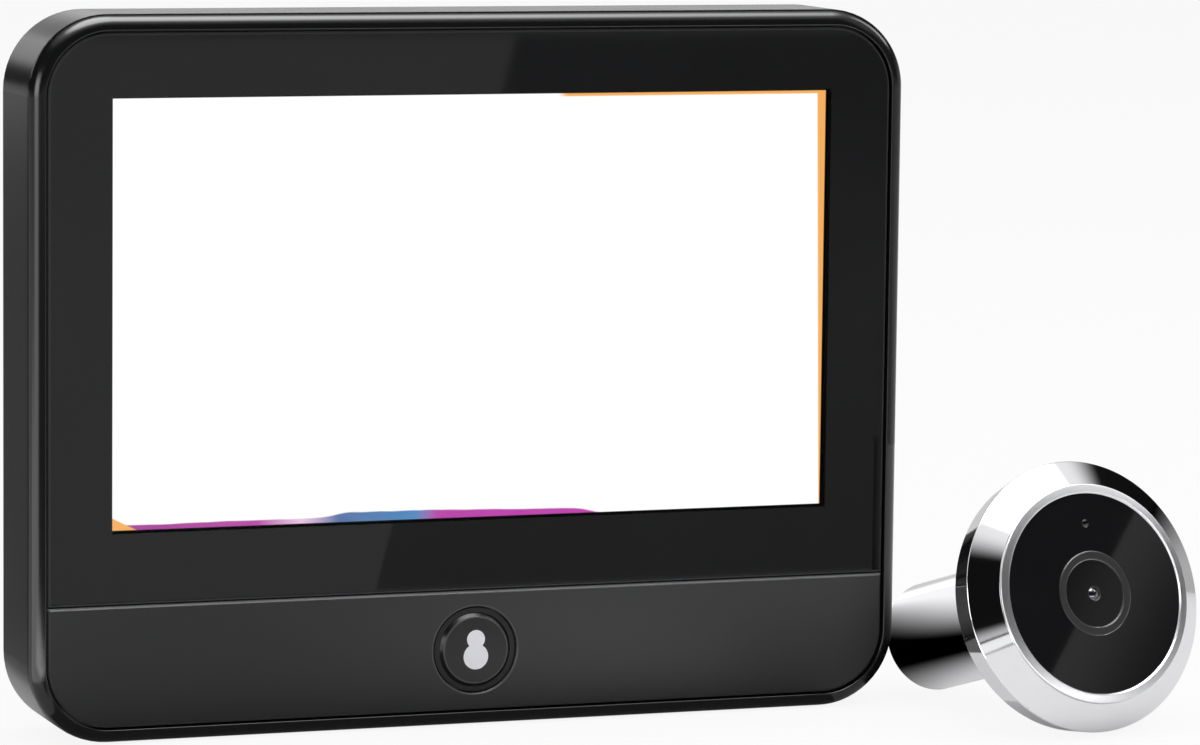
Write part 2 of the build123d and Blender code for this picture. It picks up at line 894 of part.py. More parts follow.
with BuildPart() as power_knob:
    with Locations((monitor_width / 2 + knob_proud, knob_y, knob_z)):
        Box(
            monitor_width / 2 + knob_proud - foot_outside,
            knob_width,
            knob_length,
            align=(Align.MAX, Align.CENTER, Align.CENTER),
        )
    fillet(power_knob.faces().sort_by(Axis.X)[-1].edges(), knob_clearance)
    with Locations((foot_outside, knob_y, knob_z)):
        Box(
            knob_foot_thickness,
            knob_width + knob_foot_margin,
            knob_length + knob_foot_margin,
            align=(Align.MAX, Align.CENTER, Align.CENTER),
        )
    with Locations((foot_outside - knob_foot_thickness, knob_y, knob_z)):
        Box(
            knob_play + knob_pin_depth,
            knob_pin_width,
            knob_pin_length,
            align=(Align.MAX, Align.CENTER, Align.CENTER),
        )
power_knob.part.label = "power_knob"
export_step(power_knob.part, "parts/power_knob.step")

# Socket in the back recess for the outdoor camera's ribbon
camera_socket_back = recess_floor_y - camera_socket_wall / 2
with BuildPart() as camera_socket:
    with Locations((0, board_back, camera_socket_z)):
        Box(
            camera_socket_width,
            camera_socket_back - board_back,
            camera_socket_height,
            align=lying_back,
        )
    with Locations((0, camera_socket_back, camera_socket_z)):
        Box(
            camera_socket_width - 2 * camera_socket_wall,
            camera_socket_mouth_depth,
            camera_socket_height - 2 * camera_socket_wall,
            align=lying_front,
            mode=Mode.SUBTRACT,
        )
camera_socket.part.label = "camera_socket"
export_step(camera_socket.part, "parts/camera_socket.step")

# Screws of the monitor, each set as one group
chassis_screws = screw_set(chassis_screw_places, chassis_back, shelf_front + 2 * tape_thickness)
chassis_screws.label = "chassis_screws"
export_step(chassis_screws, "parts/chassis_screws.step")

board_screws = screw_set(board_screw_places, board_back, chassis_front)
board_screws.label = "board_screws"
export_step(board_screws, "parts/board_screws.step")

housing_screws = screw_set(post_places, screw_seat, chassis_front)
housing_screws.label = "housing_screws"
export_step(housing_screws, "parts/housing_screws.step")

# Outdoor camera: it rests on the back edge of its side band and on the rear end of its barrel
rest_tilt = math.atan2(band_back_radius - barrel_radius, barrel_end_depth - head_depth)
rest_height = head_depth * math.sin(rest_tilt) + band_back_radius * math.cos(rest_tilt)
yaw = math.radians(outdoor_yaw)
outward = Vector(
    math.sin(yaw) * math.cos(rest_tilt),
    -math.cos(yaw) * math.cos(rest_tilt),
    math.sin(rest_tilt),
)
sideways = Vector(math.cos(yaw), math.sin(yaw), 0)
upward = outward.cross(sideways)
lip_centre = Vector(monitor_width / 2 + outdoor_gap, outdoor_y, rest_height)
profile_plane = Plane(origin=lip_centre, x_dir=sideways, z_dir=upward * -1)
camera_axis = Axis(lip_centre, outward)


def face_plane(depth):
    """Plane square to the outdoor camera's axis, a depth behind the front of its lip."""
    return Plane(origin=lip_centre - outward * depth, x_dir=sideways, z_dir=outward)


def ring(outer, inner, front, back):
    """Disc or ring about the outdoor camera's axis, between two depths."""
    with BuildPart() as band:
        with BuildSketch(face_plane(back)):
            Circle(outer)
            if inner > 0:
                Circle(inner, mode=Mode.SUBTRACT)
        extrude(amount=back - front)
    return band.part


def turned(profile):
    """Solid turned about the outdoor camera's axis from (radius, depth) corners."""
    with BuildPart() as blank:
        with BuildSketch(profile_plane):
            with BuildLine():
                Polyline([(radius, -depth) for radius, depth in profile], close=True)
            make_face()
        revolve(axis=camera_axis)
    return blank.part


seat_depth = face_recess + face_thickness + window_tape_thickness
cavity_back = head_depth - head_wall
flange_front = cavity_back - barrel_flange_thickness
board_face = flange_front - sensor_board_thickness
screw_spots = [(-sensor_screw_reach, 0), (sensor_screw_reach, 0)]

# Chrome head: rounded lip, conical bevel, side band, and a cavity for the camera module
with BuildPart() as head_bezel:
    with BuildSketch(profile_plane):
        with BuildLine():
            Polyline(
                (lip_radius_inner, 0),
                (lip_radius_outer, 0),
                (lip_radius_outer, -bevel_start_depth),
                (rim_radius, -rim_depth),
                (band_back_radius, -head_depth),
                (barrel_neck_radius + fit_gap, -head_depth),
                (barrel_neck_radius + fit_gap, -cavity_back),
                (head_cavity_radius, -cavity_back),
                (head_cavity_radius, -seat_depth),
                (lip_radius_inner, -seat_depth),
                close=True,
            )
        make_face()
    revolve(axis=camera_axis)
    lip_edges = head_bezel.edges().filter_by(GeomType.CIRCLE).filter_by(
        lambda edge: (edge.arc_center - lip_centre).length < fit_gap
    )
    fillet(lip_edges, lip_rounding)
    rim_edges = head_bezel.edges().filter_by(GeomType.CIRCLE).filter_by(
        lambda edge: abs(edge.radius - rim_radius) < fit_gap
    )
    fillet(rim_edges, rim_rounding)
    with BuildSketch(face_plane(cavity_back)):
        with Locations(*screw_spots):
            Circle(sensor_boss_radius)
    extrude(amount=barrel_flange_thickness)
    with BuildSketch(face_plane(flange_front)):
        with Locations(*screw_spots):
            Circle(sensor_screw_radius + fit_gap)
    extrude(amount=flange_front - head_depth + head_wall / 2, mode=Mode.SUBTRACT)
head_bezel.part.label = "head_bezel"
export_step(head_bezel.part, "parts/head_bezel.step")

# Barrel: chrome tube with a flange and a neck inside the head, and a fine chamfer at its rear end
with BuildPart() as barrel:
    with BuildSketch(profile_plane):
        with BuildLine():
            Polyline(
                (barrel_bore, -flange_front),
                (barrel_flange_radius, -flange_front),
                (barrel_flange_radius, -cavity_back),
                (barrel_neck_radius, -cavity_back),
                (barrel_neck_radius, -head_depth),
                (barrel_radius, -head_depth),
                (barrel_radius, -barrel_end_depth),
                (barrel_bore, -barrel_end_depth),
                close=True,
            )
        make_face()
    revolve(axis=camera_axis)
    rear_rim = barrel.edges().filter_by(GeomType.CIRCLE).filter_by(
        lambda edge: abs((edge.arc_center - lip_centre).length - barrel_end_depth) < fit_gap
    )
    chamfer(rear_rim.sort_by(SortBy.RADIUS)[0], barrel_end_chamfer)
barrel.part.label = "barrel"
export_step(barrel.part, "parts/barrel.step")

# Black glass face with the microphone's small hole
with BuildPart() as face_window:
    add(
        ring(
            lip_radius_inner - fit_gap,
            window_hole_radius,
            face_recess,
            face_recess + face_thickness,
        )
    )
    with BuildSketch(face_plane(face_recess)):
        with Locations((0, sound_hole_rise)):
            Circle(sound_hole_radius)
    extrude(amount=-face_thickness, mode=Mode.SUBTRACT)
face_window.part.label = "face_window"
export_step(face_window.part, "parts/face_window.step")

with BuildPart() as window_tape:
    add(
        ring(
            lip_radius_inner - 2 * fit_gap,
            head_cavity_radius + fit_gap,
            face_recess + face_thickness,
            seat_depth,
        )
    )
window_tape.part.label = "window_tape"
export_step(window_tape.part, "parts/window_tape.step")

# Grey ring round the lens
with BuildPart() as lens_ring:
    add(ring(lens_ring_outer, lens_ring_inner, lens_ring_recess, face_recess + face_thickness))
    chamfer(
        lens_ring.edges()
        .filter_by(GeomType.CIRCLE)
        .filter_by(lambda edge: (edge.arc_center - lip_centre).length < lens_ring_recess + fit_gap),
        fit_gap * 2,
    )
lens_ring.part.label = "lens_ring"
export_step(lens_ring.part, "parts/lens_ring.step")

# Lens barrel: flat black dish with a small funnel at the lens, on the tube that screws into the holder
lens_bore = lens_radius + fit_gap
with BuildPart() as lens_barrel:
    add(
        turned(
            [
                (lens_bore, dish_floor_recess),
                (dish_mouth_radius, dish_mouth_recess),
                (dish_radius, dish_edge_recess),
                (dish_radius, lens_shoulder_depth),
                (lens_tube_radius, lens_shoulder_depth),
                (lens_tube_radius, lens_tube_end),
                (lens_bore, lens_tube_end),
            ]
        )
    )
lens_barrel.part.label = "lens_barrel"
export_step(lens_barrel.part, "parts/lens_barrel.step")

# Front lens: short glass plug with a domed front
lens_front = dish_floor_recess - fit_gap
with BuildPart() as front_lens:
    with BuildSketch(profile_plane):
        with BuildLine():
            ThreePointArc(
                (0, -lens_front + lens_dome),
                (lens_radius / 2, -lens_front + lens_dome * 3 / 4),
                (lens_radius, -lens_front),
            )
            Polyline(
                (lens_radius, -lens_front),
                (lens_radius, -lens_front - lens_length),
                (0, -lens_front - lens_length),
                (0, -lens_front + lens_dome),
            )
        make_face()
    revolve(axis=camera_axis)
front_lens.part.label = "front_lens"
export_step(front_lens.part, "parts/front_lens.step")

# Camera module behind the face: holder, image sensor, round board, two screws
with BuildPart() as lens_holder:
    with BuildSketch(face_plane(board_face)):
        Rectangle(holder_size, holder_size)
    extrude(amount=board_face - holder_front)
    with BuildSketch(face_plane(board_face)):
        Circle(lens_tube_radius + fit_gap)
    extrude(amount=board_face - holder_front, mode=Mode.SUBTRACT)
    with BuildSketch(face_plane(board_face)):
        Rectangle(sensor_size + 2 * sensor_margin, sensor_size + 2 * sensor_margin)
    extrude(amount=sensor_thickness + sensor_margin, mode=Mode.SUBTRACT)
lens_holder.part.label = "lens_holder"
export_step(lens_holder.part, "parts/lens_holder.step")

with BuildPart() as image_sensor:
    with BuildSketch(face_plane(board_face)):
        Rectangle(sensor_size, sensor_size)
    extrude(amount=sensor_thickness)
image_sensor.part.label = "image_sensor"
export_step(image_sensor.part, "parts/image_sensor.step")

with BuildPart() as sensor_board:
    add(ring(sensor_board_radius, 0, board_face, flange_front))
    with BuildSketch(face_plane(flange_front)):
        with Locations(*screw_spots):
            Circle(sensor_screw_radius + fit_gap)
    extrude(amount=sensor_board_thickness, mode=Mode.SUBTRACT)
sensor_board.part.label = "sensor_board"
export_step(sensor_board.part, "parts/sensor_board.step")

with BuildPart() as sensor_screws:
    with BuildSketch(face_plane(board_face)):
        with Locations(*screw_spots):
            Circle(sensor_screw_radius)
    extrude(amount=board_face - cavity_back)
    with BuildSketch(face_plane(board_face)):
        with Locations(*screw_spots):
            Circle(sensor_screw_head_radius)
    extrude(amount=sensor_screw_head_height)
sensor_screws.part.label = "sensor_screws"
export_step(sensor_screws.part, "parts/sensor_screws.step")

# Microphone behind the small hole, with a soft boot up to the glass
with BuildPart() as microphone:
    with BuildSketch(face_plane(board_face)):
        with Locations((0, sound_hole_rise)):
            Circle(microphone_radius)
    extrude(amount=microphone_height)
microphone.part.label = "microphone"
export_step(microphone.part, "parts/microphone.step")

boot_back = board_face - microphone_height
with BuildPart() as microphone_boot:
    with BuildSketch(face_plane(boot_back)):
        with Locations((0, sound_hole_rise)):
            Circle(microphone_radius)
            Circle(sound_hole_radius, mode=Mode.SUBTRACT)
    extrude(amount=boot_back - face_recess - face_thickness)
microphone_boot.part.label = "microphone_boot"
export_step(microphone_boot.part, "parts/microphone_boot.step")

# Foam ring that seals the head on the door
with BuildPart() as door_gasket:
    add(
        ring(
            door_gasket_outer,
            door_gasket_inner,
            head_depth,
            head_depth + door_gasket_thickness,
        )
    )
door_gasket.part.label = "door_gasket"
export_step(door_gasket.part, "parts/door_gasket.step")

# Tail plug with two tapped holes for the long screws from indoors, and the ribbon's outlet
plug_back = barrel_end_depth - plug_recess
with BuildPart() as tail_plug:
    add(ring(barrel_bore - fit_gap, plug_cable_radius, plug_back - plug_length, plug_back))
    with BuildSketch(face_plane(plug_back)):
        with Locations((-plug_screw_reach, 0), (plug_screw_reach, 0)):
            Circle(plug_screw_radius)
    extrude(amount=plug_screw_depth, mode=Mode.SUBTRACT)
tail_plug.part.label = "tail_plug"
export_step(tail_plug.part, "parts/tail_plug.step")

with BuildPart() as cable_grommet:
    add(ring(grommet_flange_radius, grommet_bore, plug_back, plug_back + grommet_flange_thickness))
    add(
        ring(
            plug_cable_radius - fit_gap,
            grommet_bore,
            plug_back - grommet_shaft_length,
            plug_back,
        )
    )
cable_grommet.part.label = "cable_grommet"
export_step(cable_grommet.part, "parts/cable_grommet.step")
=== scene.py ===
"""Looks of a video door phone: an indoor monitor that stands on its lower edge, and its outdoor camera lying beside it.

The settings keep lengths in metres, the functions work in millimetres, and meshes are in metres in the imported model's
frame. The monitor faces -Y.
"""

import json
import math
from types import SimpleNamespace

import bmesh
import bpy
import numpy as np
from bpy.props import FloatProperty, FloatVectorProperty, IntProperty, PointerProperty
from bpy.types import Operator, Panel, PropertyGroup
from mathutils import Matrix, Vector


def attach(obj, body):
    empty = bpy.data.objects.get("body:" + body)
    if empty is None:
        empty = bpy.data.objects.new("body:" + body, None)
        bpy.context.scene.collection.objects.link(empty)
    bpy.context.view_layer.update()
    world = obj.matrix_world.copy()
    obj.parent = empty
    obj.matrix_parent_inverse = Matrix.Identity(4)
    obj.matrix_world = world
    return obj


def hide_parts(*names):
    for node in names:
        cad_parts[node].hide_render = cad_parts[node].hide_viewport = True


bl_info = {
    "name": "Video door phone",
    "version": (1, 0, 0),
    "blender": (4, 5, 0),
    "location": "3D View > Sidebar > Door phone",
    "description": "Gives a packed video door phone its finishes and fine pieces",
    "category": "Object",
}

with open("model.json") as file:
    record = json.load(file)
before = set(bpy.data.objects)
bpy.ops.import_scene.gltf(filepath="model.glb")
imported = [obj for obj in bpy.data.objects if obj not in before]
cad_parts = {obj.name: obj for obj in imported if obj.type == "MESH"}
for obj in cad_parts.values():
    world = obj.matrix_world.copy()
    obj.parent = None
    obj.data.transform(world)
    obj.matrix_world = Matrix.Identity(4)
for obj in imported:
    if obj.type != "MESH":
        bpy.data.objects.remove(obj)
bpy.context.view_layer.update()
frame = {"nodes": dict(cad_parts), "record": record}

# A millimetre in metres, the angle in degrees under which two sides share a normal, and the outdoor camera's body
MM = 0.001
CREASE = 35.0
OUTDOOR = "outdoor_unit"


# The outdoor camera's axis and the centre of its lip, from the mount halfway along its barrel, whose depth is in mm

mounts = {mount["name"]: mount for mount in frame["record"]["mounts"]}
barrel_mount = mounts["barrel"]
barrel_middle_depth = 23.25
inward = np.array(barrel_mount["axis"], float)
lip_centre = np.array(barrel_mount["pos_m"], float) - inward * barrel_middle_depth * MM
sideways = np.array([-inward[1], inward[0], 0.0]) / math.hypot(inward[0], inward[1])
downward = np.cross(sideways, inward)


# Meshes

def rounded(corners, radii, steps=6):
    """Outline whose corners are arcs. Each corner is cut back along its sides by its radius over the tangent of half
    its angle, and the arc turns evenly between the two cuts. A radius of 0 keeps the corner sharp."""
    corners = np.asarray(corners, float)
    radii = np.asarray(radii, float)[:, None]
    back = np.roll(corners, 1, axis=0) - corners
    ahead = np.roll(corners, -1, axis=0) - corners
    back /= np.linalg.norm(back, axis=1, keepdims=True)
    ahead /= np.linalg.norm(ahead, axis=1, keepdims=True)
    half = 0.5 * np.arccos(np.clip(np.sum(back * ahead, axis=1, keepdims=True), -1, 1))
    cut = radii / np.tan(half)
    middle = back + ahead
    middle /= np.linalg.norm(middle, axis=1, keepdims=True)
    centre = corners + middle * radii / np.sin(half)
    first = (corners + back * cut - centre)[:, None]
    last = (corners + ahead * cut - centre)[:, None]
    turn = (math.pi - 2 * half)[:, None]
    share = np.linspace(0, 1, steps)[None, :, None]
    arc = (np.sin((1 - share) * turn) * first + np.sin(share * turn) * last) / np.sin(turn)
    points = (centre[:, None] + arc).reshape(-1, 2)
    apart = np.linalg.norm(points - np.roll(points, 1, axis=0), axis=1) > 1e-6
    return points[apart]


def mesh_from(name, points, faces, material, normals=None):
    """Object at the origin with these points in metres and these faces, shaded smooth. Normals are one for each corner
    of each face, in the faces' order."""
    mesh = bpy.data.meshes.new(name)
    mesh.from_pydata(points.tolist(), [], faces)
    mesh.polygons.foreach_set("use_smooth", np.ones(len(mesh.polygons), bool))
    if normals is not None:
        mesh.normals_split_custom_set(normals.tolist())
    mesh.update()
    mesh.materials.append(material)
    piece = bpy.data.objects.new(name, mesh)
    bpy.context.scene.collection.objects.link(piece)
    return piece


def carried(name, profile, origin, out, along, material, closed=True):
    """Profile carried round a closed path. A profile point (reach, depth) lies at origin + reach * out + depth * along,
    where origin, out and along are given for each station of the path. An open profile begins and ends at reach 0, and
    each of those ends is one point, a pole. Corners under the crease angle share a normal, weighted by the lengths of
    the two sides, so that flats stay flat beside their roundings."""
    profile = np.asarray(profile, float)
    rows = len(profile)
    stations = len(out)
    grid = origin[None] + (profile[:, 0, None, None] * out[None] + profile[:, 1, None, None] * along[None]) * MM
    side = np.roll(profile, -1, axis=0) - profile
    area = np.sum(profile[:, 0] * np.roll(profile[:, 1], -1) - np.roll(profile[:, 0], -1) * profile[:, 1])
    length = np.linalg.norm(side, axis=1, keepdims=True)
    facing = np.stack([side[:, 1], -side[:, 0]], axis=1) / length * np.sign(area)
    before = np.roll(facing, 1, axis=0)
    shared = facing * length + before * np.roll(length, 1, axis=0)
    shared /= np.linalg.norm(shared, axis=1, keepdims=True)
    soft = np.sum(facing * before, axis=1, keepdims=True) > math.cos(math.radians(CREASE))
    if not closed:
        soft[0] = soft[-1] = False
    at_start = np.where(soft, shared, facing)
    at_end = np.roll(np.where(soft, shared, before), -1, axis=0)
    kept = rows if closed else rows - 1
    row = np.arange(kept)[:, None]
    station = np.arange(stations)[None, :]
    following = (station + 1) % stations
    index = np.arange(rows * stations).reshape(rows, stations)
    poles = np.abs(profile[:, 0]) < 1e-9
    index[poles] = index[poles, :1]
    corners = [(row, station), (row, following), ((row + 1) % rows, following), ((row + 1) % rows, station)]
    ends = [at_start, at_start, at_end, at_end]
    quads = np.stack([index[r, s] for r, s in corners], axis=-1).reshape(-1, 4)
    normals = np.stack(
        [
            end[:kept, None, 0, None] * out[s[0]][None] + end[:kept, None, 1, None] * along[s[0]][None]
            for end, (_, s) in zip(ends, corners)
        ],
        axis=2,
    ).reshape(-1, 4, 3)
    place = grid.reshape(-1, 3)[quads]
    across = np.cross(place[:, 2] - place[:, 0], place[:, 3] - place[:, 1])
    if np.sum(across * normals.mean(axis=1)) < 0:
        quads = quads[:, ::-1]
        normals = normals[:, ::-1]
    used, quads = np.unique(quads, return_inverse=True)
    quads = quads.reshape(-1, 4)
    points = grid.reshape(-1, 3)[used]
    first_pair = quads[:, 0] == quads[:, 1]
    last_pair = quads[:, 2] == quads[:, 3]
    whole = ~(first_pair | last_pair)
    faces = quads[whole].tolist() + quads[first_pair][:, 1:].tolist() + quads[last_pair][:, :3].tolist()
    corner_normals = np.concatenate(
        [
            normals[whole].reshape(-1, 3),
            normals[first_pair][:, 1:].reshape(-1, 3),
            normals[last_pair][:, :3].reshape(-1, 3),
        ]
    )
    return mesh_from(name, points, faces, material, corner_normals)


def turned(name, profile, material, segments):
    """Profile of (radius, depth) turned once round the outdoor camera's axis: the point at each angle lies at the lip's
    centre + radius * (cos angle * sideways + sin angle * downward) + depth * inward."""
    angle = np.arange(segments) * 2 * math.pi / segments
    out = np.cos(angle)[:, None] * sideways + np.sin(angle)[:, None] * downward
    along = np.broadcast_to(inward, out.shape)
    origin = np.broadcast_to(lip_centre, out.shape)
    return carried(name, profile, origin, out, along, material)


def surface(name, grid, material):
    """Closed surface from a grid of points: each row goes once round, and the first and last rows are poles."""
    rows, columns = grid.shape[:2]
    index = np.arange(rows * columns).reshape(rows, columns)
    index[0] = index[0, 0]
    index[-1] = index[-1, 0]
    ahead = np.roll(index, -1, axis=1)
    quads = np.stack([index[:-1], ahead[:-1], ahead[1:], index[1:]], axis=-1)
    used, quads = np.unique(quads, return_inverse=True)
    quads = quads.reshape(rows - 1, columns, 4)
    faces = quads[0][:, [0, 2, 3]].tolist() + quads[1:-1].reshape(-1, 4).tolist() + quads[-1][:, [0, 1, 3]].tolist()
    piece = mesh_from(name, grid.reshape(-1, 3)[used], faces, material)
    piece.data.set_sharp_from_angle(angle=math.radians(CREASE))
    return outward_faces(piece)


def outward_faces(piece):
    """Turns every face of a closed piece to point outwards."""
    work = bmesh.new()
    work.from_mesh(piece.data)
    bmesh.ops.recalc_face_normals(work, faces=work.faces)
    work.to_mesh(piece.data)
    work.free()
    return piece


def placed(piece, body, slot, *nodes):
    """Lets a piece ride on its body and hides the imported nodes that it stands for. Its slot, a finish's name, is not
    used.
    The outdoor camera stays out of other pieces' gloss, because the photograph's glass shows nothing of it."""
    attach(piece, body)
    piece.visible_glossy = body != OUTDOOR
    if nodes:
        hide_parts(*nodes)
    return piece


# Materials

class Signal:
    """A shader value. The usual signs between values, or a value and a number, add Math nodes."""

    def __init__(self, tree, socket):
        self.tree = tree
        self.socket = socket

    def math(self, operation, *values):
        node = self.tree.nodes.new("ShaderNodeMath")
        node.operation = operation
        for place, value in enumerate(values):
            if isinstance(value, Signal):
                self.tree.links.new(value.socket, node.inputs[place])
            else:
                node.inputs[place].default_value = value
        return Signal(self.tree, node.outputs[0])

    def __add__(self, other):
        return self.math("ADD", self, other)

    def __radd__(self, other):
        return self.math("ADD", other, self)

    def __sub__(self, other):
        return self.math("SUBTRACT", self, other)

    def __rsub__(self, other):
        return self.math("SUBTRACT", other, self)

    def __mul__(self, other):
        return self.math("MULTIPLY", self, other)

    def __rmul__(self, other):
        return self.math("MULTIPLY", other, self)

    def __abs__(self):
        return self.math("ABSOLUTE", self)

    def least(self, other):
        return self.math("MINIMUM", self, other)

    def most(self, other):
        return self.math("MAXIMUM", self, other)

    def root(self):
        return self.math("SQRT", self)

    def sine(self):
        return self.math("SINE", self)

    def step(self, low, high):
        """Rises smoothly from 0 at low to 1 at high, and falls where low is the greater."""
        rising = high >= low
        node = self.tree.nodes.new("ShaderNodeMapRange")
        node.interpolation_type = "SMOOTHSTEP"
        node.inputs["From Min"].default_value = min(low, high)
        node.inputs["From Max"].default_value = max(low, high)
        node.inputs["To Min"].default_value = 0.0 if rising else 1.0
        node.inputs["To Max"].default_value = 1.0 if rising else 0.0
        self.tree.links.new(self.socket, node.inputs["Value"])
        return Signal(self.tree, node.outputs["Result"])


class Finish:
    """A material on its way: one shader whose varying sockets are worked out from the place on the object."""

    def __init__(self, name, world=None):
        if world is None:
            self.data = bpy.data.materials.new(name)
            self.data.use_nodes = True
        else:
            self.data = world
            world.use_nodes = True
        self.tree = self.data.node_tree
        self.tree.nodes.clear()
        kind = "ShaderNodeOutputWorld" if world is not None else "ShaderNodeOutputMaterial"
        self.exit = self.tree.nodes.new(kind)
        self._place = None

    def node(self, kind, settings=None, sockets=None):
        """Adds a node: its settings first, a ramp's stops among them, then the values or links of its sockets."""
        node = self.tree.nodes.new(kind)
        for key, value in (settings or {}).items():
            if key == "stops":
                ramp = node.color_ramp
                while len(ramp.elements) < len(value):
                    ramp.elements.new(0.5)
                for element, (position, colour) in zip(ramp.elements, value):
                    element.position = position
                    element.color = (*colour, 1.0)
            else:
                setattr(node, key, value)
        for key, value in (sockets or {}).items():
            if isinstance(value, Signal):
                self.tree.links.new(value.socket, node.inputs[key])
            elif isinstance(value, bpy.types.NodeSocket):
                self.tree.links.new(value, node.inputs[key])
            elif hasattr(value, "__len__") and len(value) == 3 and len(node.inputs[key].default_value) == 4:
                node.inputs[key].default_value = (*value, 1.0)
            else:
                node.inputs[key].default_value = value
        return node

    def signal(self, socket):
        return Signal(self.tree, socket)

    def place(self):
        """Object coordinates in millimetres, as three values."""
        if self._place is None:
            where = self.node("ShaderNodeTexCoord").outputs["Object"]
            parts = self.node("ShaderNodeSeparateXYZ", None, {"Vector": where})
            self._place = [self.signal(parts.outputs[axis]) * (1 / MM) for axis in "XYZ"]
        return self._place

    def grain(self, size, detail=2.0, roughness=0.5, stretch=(1.0, 1.0, 1.0)):
        """Noise from 0 to 1 whose blotches are about size millimetres across, longer where stretch is greater."""
        where = self.node("ShaderNodeTexCoord").outputs["Object"]
        scaled = self.node(
            "ShaderNodeMapping",
            {"vector_type": "POINT"},
            {"Vector": where, "Scale": tuple(1 / (size * MM * s) for s in stretch)},
        )
        noise = self.node(
            "ShaderNodeTexNoise",
            None,
            {"Vector": scaled.outputs[0], "Scale": 1.0, "Detail": detail, "Roughness": roughness},
        )
        return self.signal(noise.outputs["Fac"])

    def cells(self, size, feature="F1"):
        """Distance to the nearest of scattered points about size millimetres apart."""
        where = self.node("ShaderNodeTexCoord").outputs["Object"]
        node = self.node("ShaderNodeTexVoronoi", {"feature": feature}, {"Vector": where, "Scale": 1 / (size * MM)})
        return self.signal(node.outputs["Distance"])

    def blend(self, amount, first, second):
        """Colour that goes from the first to the second as the amount goes from 0 to 1."""
        node = self.node("ShaderNodeMix", {"data_type": "RGBA"}, {0: amount, 6: first, 7: second})
        return node.outputs[2]

    def vectors(self, operation, *values):
        return self.node("ShaderNodeVectorMath", {"operation": operation}, dict(enumerate(values)))

    def bump(self, height, depth, strength):
        """Normal of a relief whose height runs from 0 to 1, depth millimetres high."""
        sockets = {"Height": height, "Distance": depth * MM, "Strength": strength}
        return self.node("ShaderNodeBump", None, sockets).outputs[0]

    def shader(self, **sockets):
        """The Principled shader, with its sockets' names written with underscores."""
        return self.node("ShaderNodeBsdfPrincipled", None, {key.replace("_", " "): v for key, v in sockets.items()})

    def close(self, shader):
        self.tree.links.new(shader.outputs[0], self.exit.inputs[0])
        return self.data


def tint(colour, factor):
    return tuple(min(1.0, part * factor) for part in colour)


def dress(material, *nodes):
    """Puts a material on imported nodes, whose meshes are left alone."""
    for name in nodes:
        slots = frame["nodes"][name].material_slots
        if not slots:
            raise RuntimeError(f"{name} has no material slot")
        for slot in slots:
            slot.material = material


def moulded(name, colour, roughness, grain=0.14, depth=0.006, mottle=0.12, sheen=0.10):
    """Moulded plastic: a fine spark-eroded grain in relief, with slight changes of tone and gloss in wide patches."""
    finish = Finish(name)
    fine = finish.grain(grain, 3.0, 0.6)
    wide = finish.grain(18.0, 2.0)
    tone = finish.blend(fine * 0.6 + wide * 0.4, tint(colour, 1 - mottle), tint(colour, 1 + mottle))
    gloss = roughness + (fine - 0.5) * sheen + (wide - 0.5) * 0.05
    return finish.close(finish.shader(Base_Color=tone, Roughness=gloss, Normal=finish.bump(fine, depth, 0.6)))


def sheet_metal(name, colour, roughness, stretch=(12.0, 1.0, 1.0), depth=0.003):
    """Rolled or drawn metal: fine lines along one direction in tone, gloss and relief."""
    finish = Finish(name)
    lines = finish.grain(0.12, 3.0, 0.6, stretch)
    wide = finish.grain(9.0, 2.0)
    tone = finish.blend(lines * 0.7 + wide * 0.3, tint(colour, 0.86), tint(colour, 1.1))
    gloss = roughness + (lines - 0.5) * 0.18
    shader = finish.shader(
        Base_Color=tone, Roughness=gloss, Metallic=1.0, Normal=finish.bump(lines, depth, 0.5)
    )
    return finish.close(shader)


def mottled(name, grain, dark, light, roughness, swing, relief, **more):
    """Finish whose tone, gloss and relief follow one grain: the tone goes from dark to light, the roughness rises by
    the swing, and the relief has a depth in mm and a strength."""
    finish = Finish(name)
    spots = finish.grain(*grain)
    shader = finish.shader(
        Base_Color=finish.blend(spots, dark, light),
        Roughness=roughness + spots * swing,
        Normal=finish.bump(spots, *relief),
        **more,
    )
    return finish.close(shader)


# Settings

def size_of(name, description, size):
    """Length setting: given here in millimetres and kept in metres."""
    return FloatProperty(name=name, description=description, default=size * MM, unit="LENGTH", precision=5)


def angle_of(name, description, degrees):
    """Angle setting: given here in degrees and kept in radians."""
    return FloatProperty(name=name, description=description, default=math.radians(degrees), subtype="ANGLE")


def share_of(name, description, default):
    return FloatProperty(name=name, description=description, default=default, subtype="FACTOR", min=0.0, max=1.0)


def light_of(name, description, default, most):
    return FloatProperty(name=name, description=description, default=default, min=0.0, max=most)


def colour_of(name, description, default):
    return FloatVectorProperty(name=name, description=description, subtype="COLOR", default=default, min=0.0, max=1.0)


def facets_of(name, description, default):
    return IntProperty(name=name, description=description, default=default, min=24)


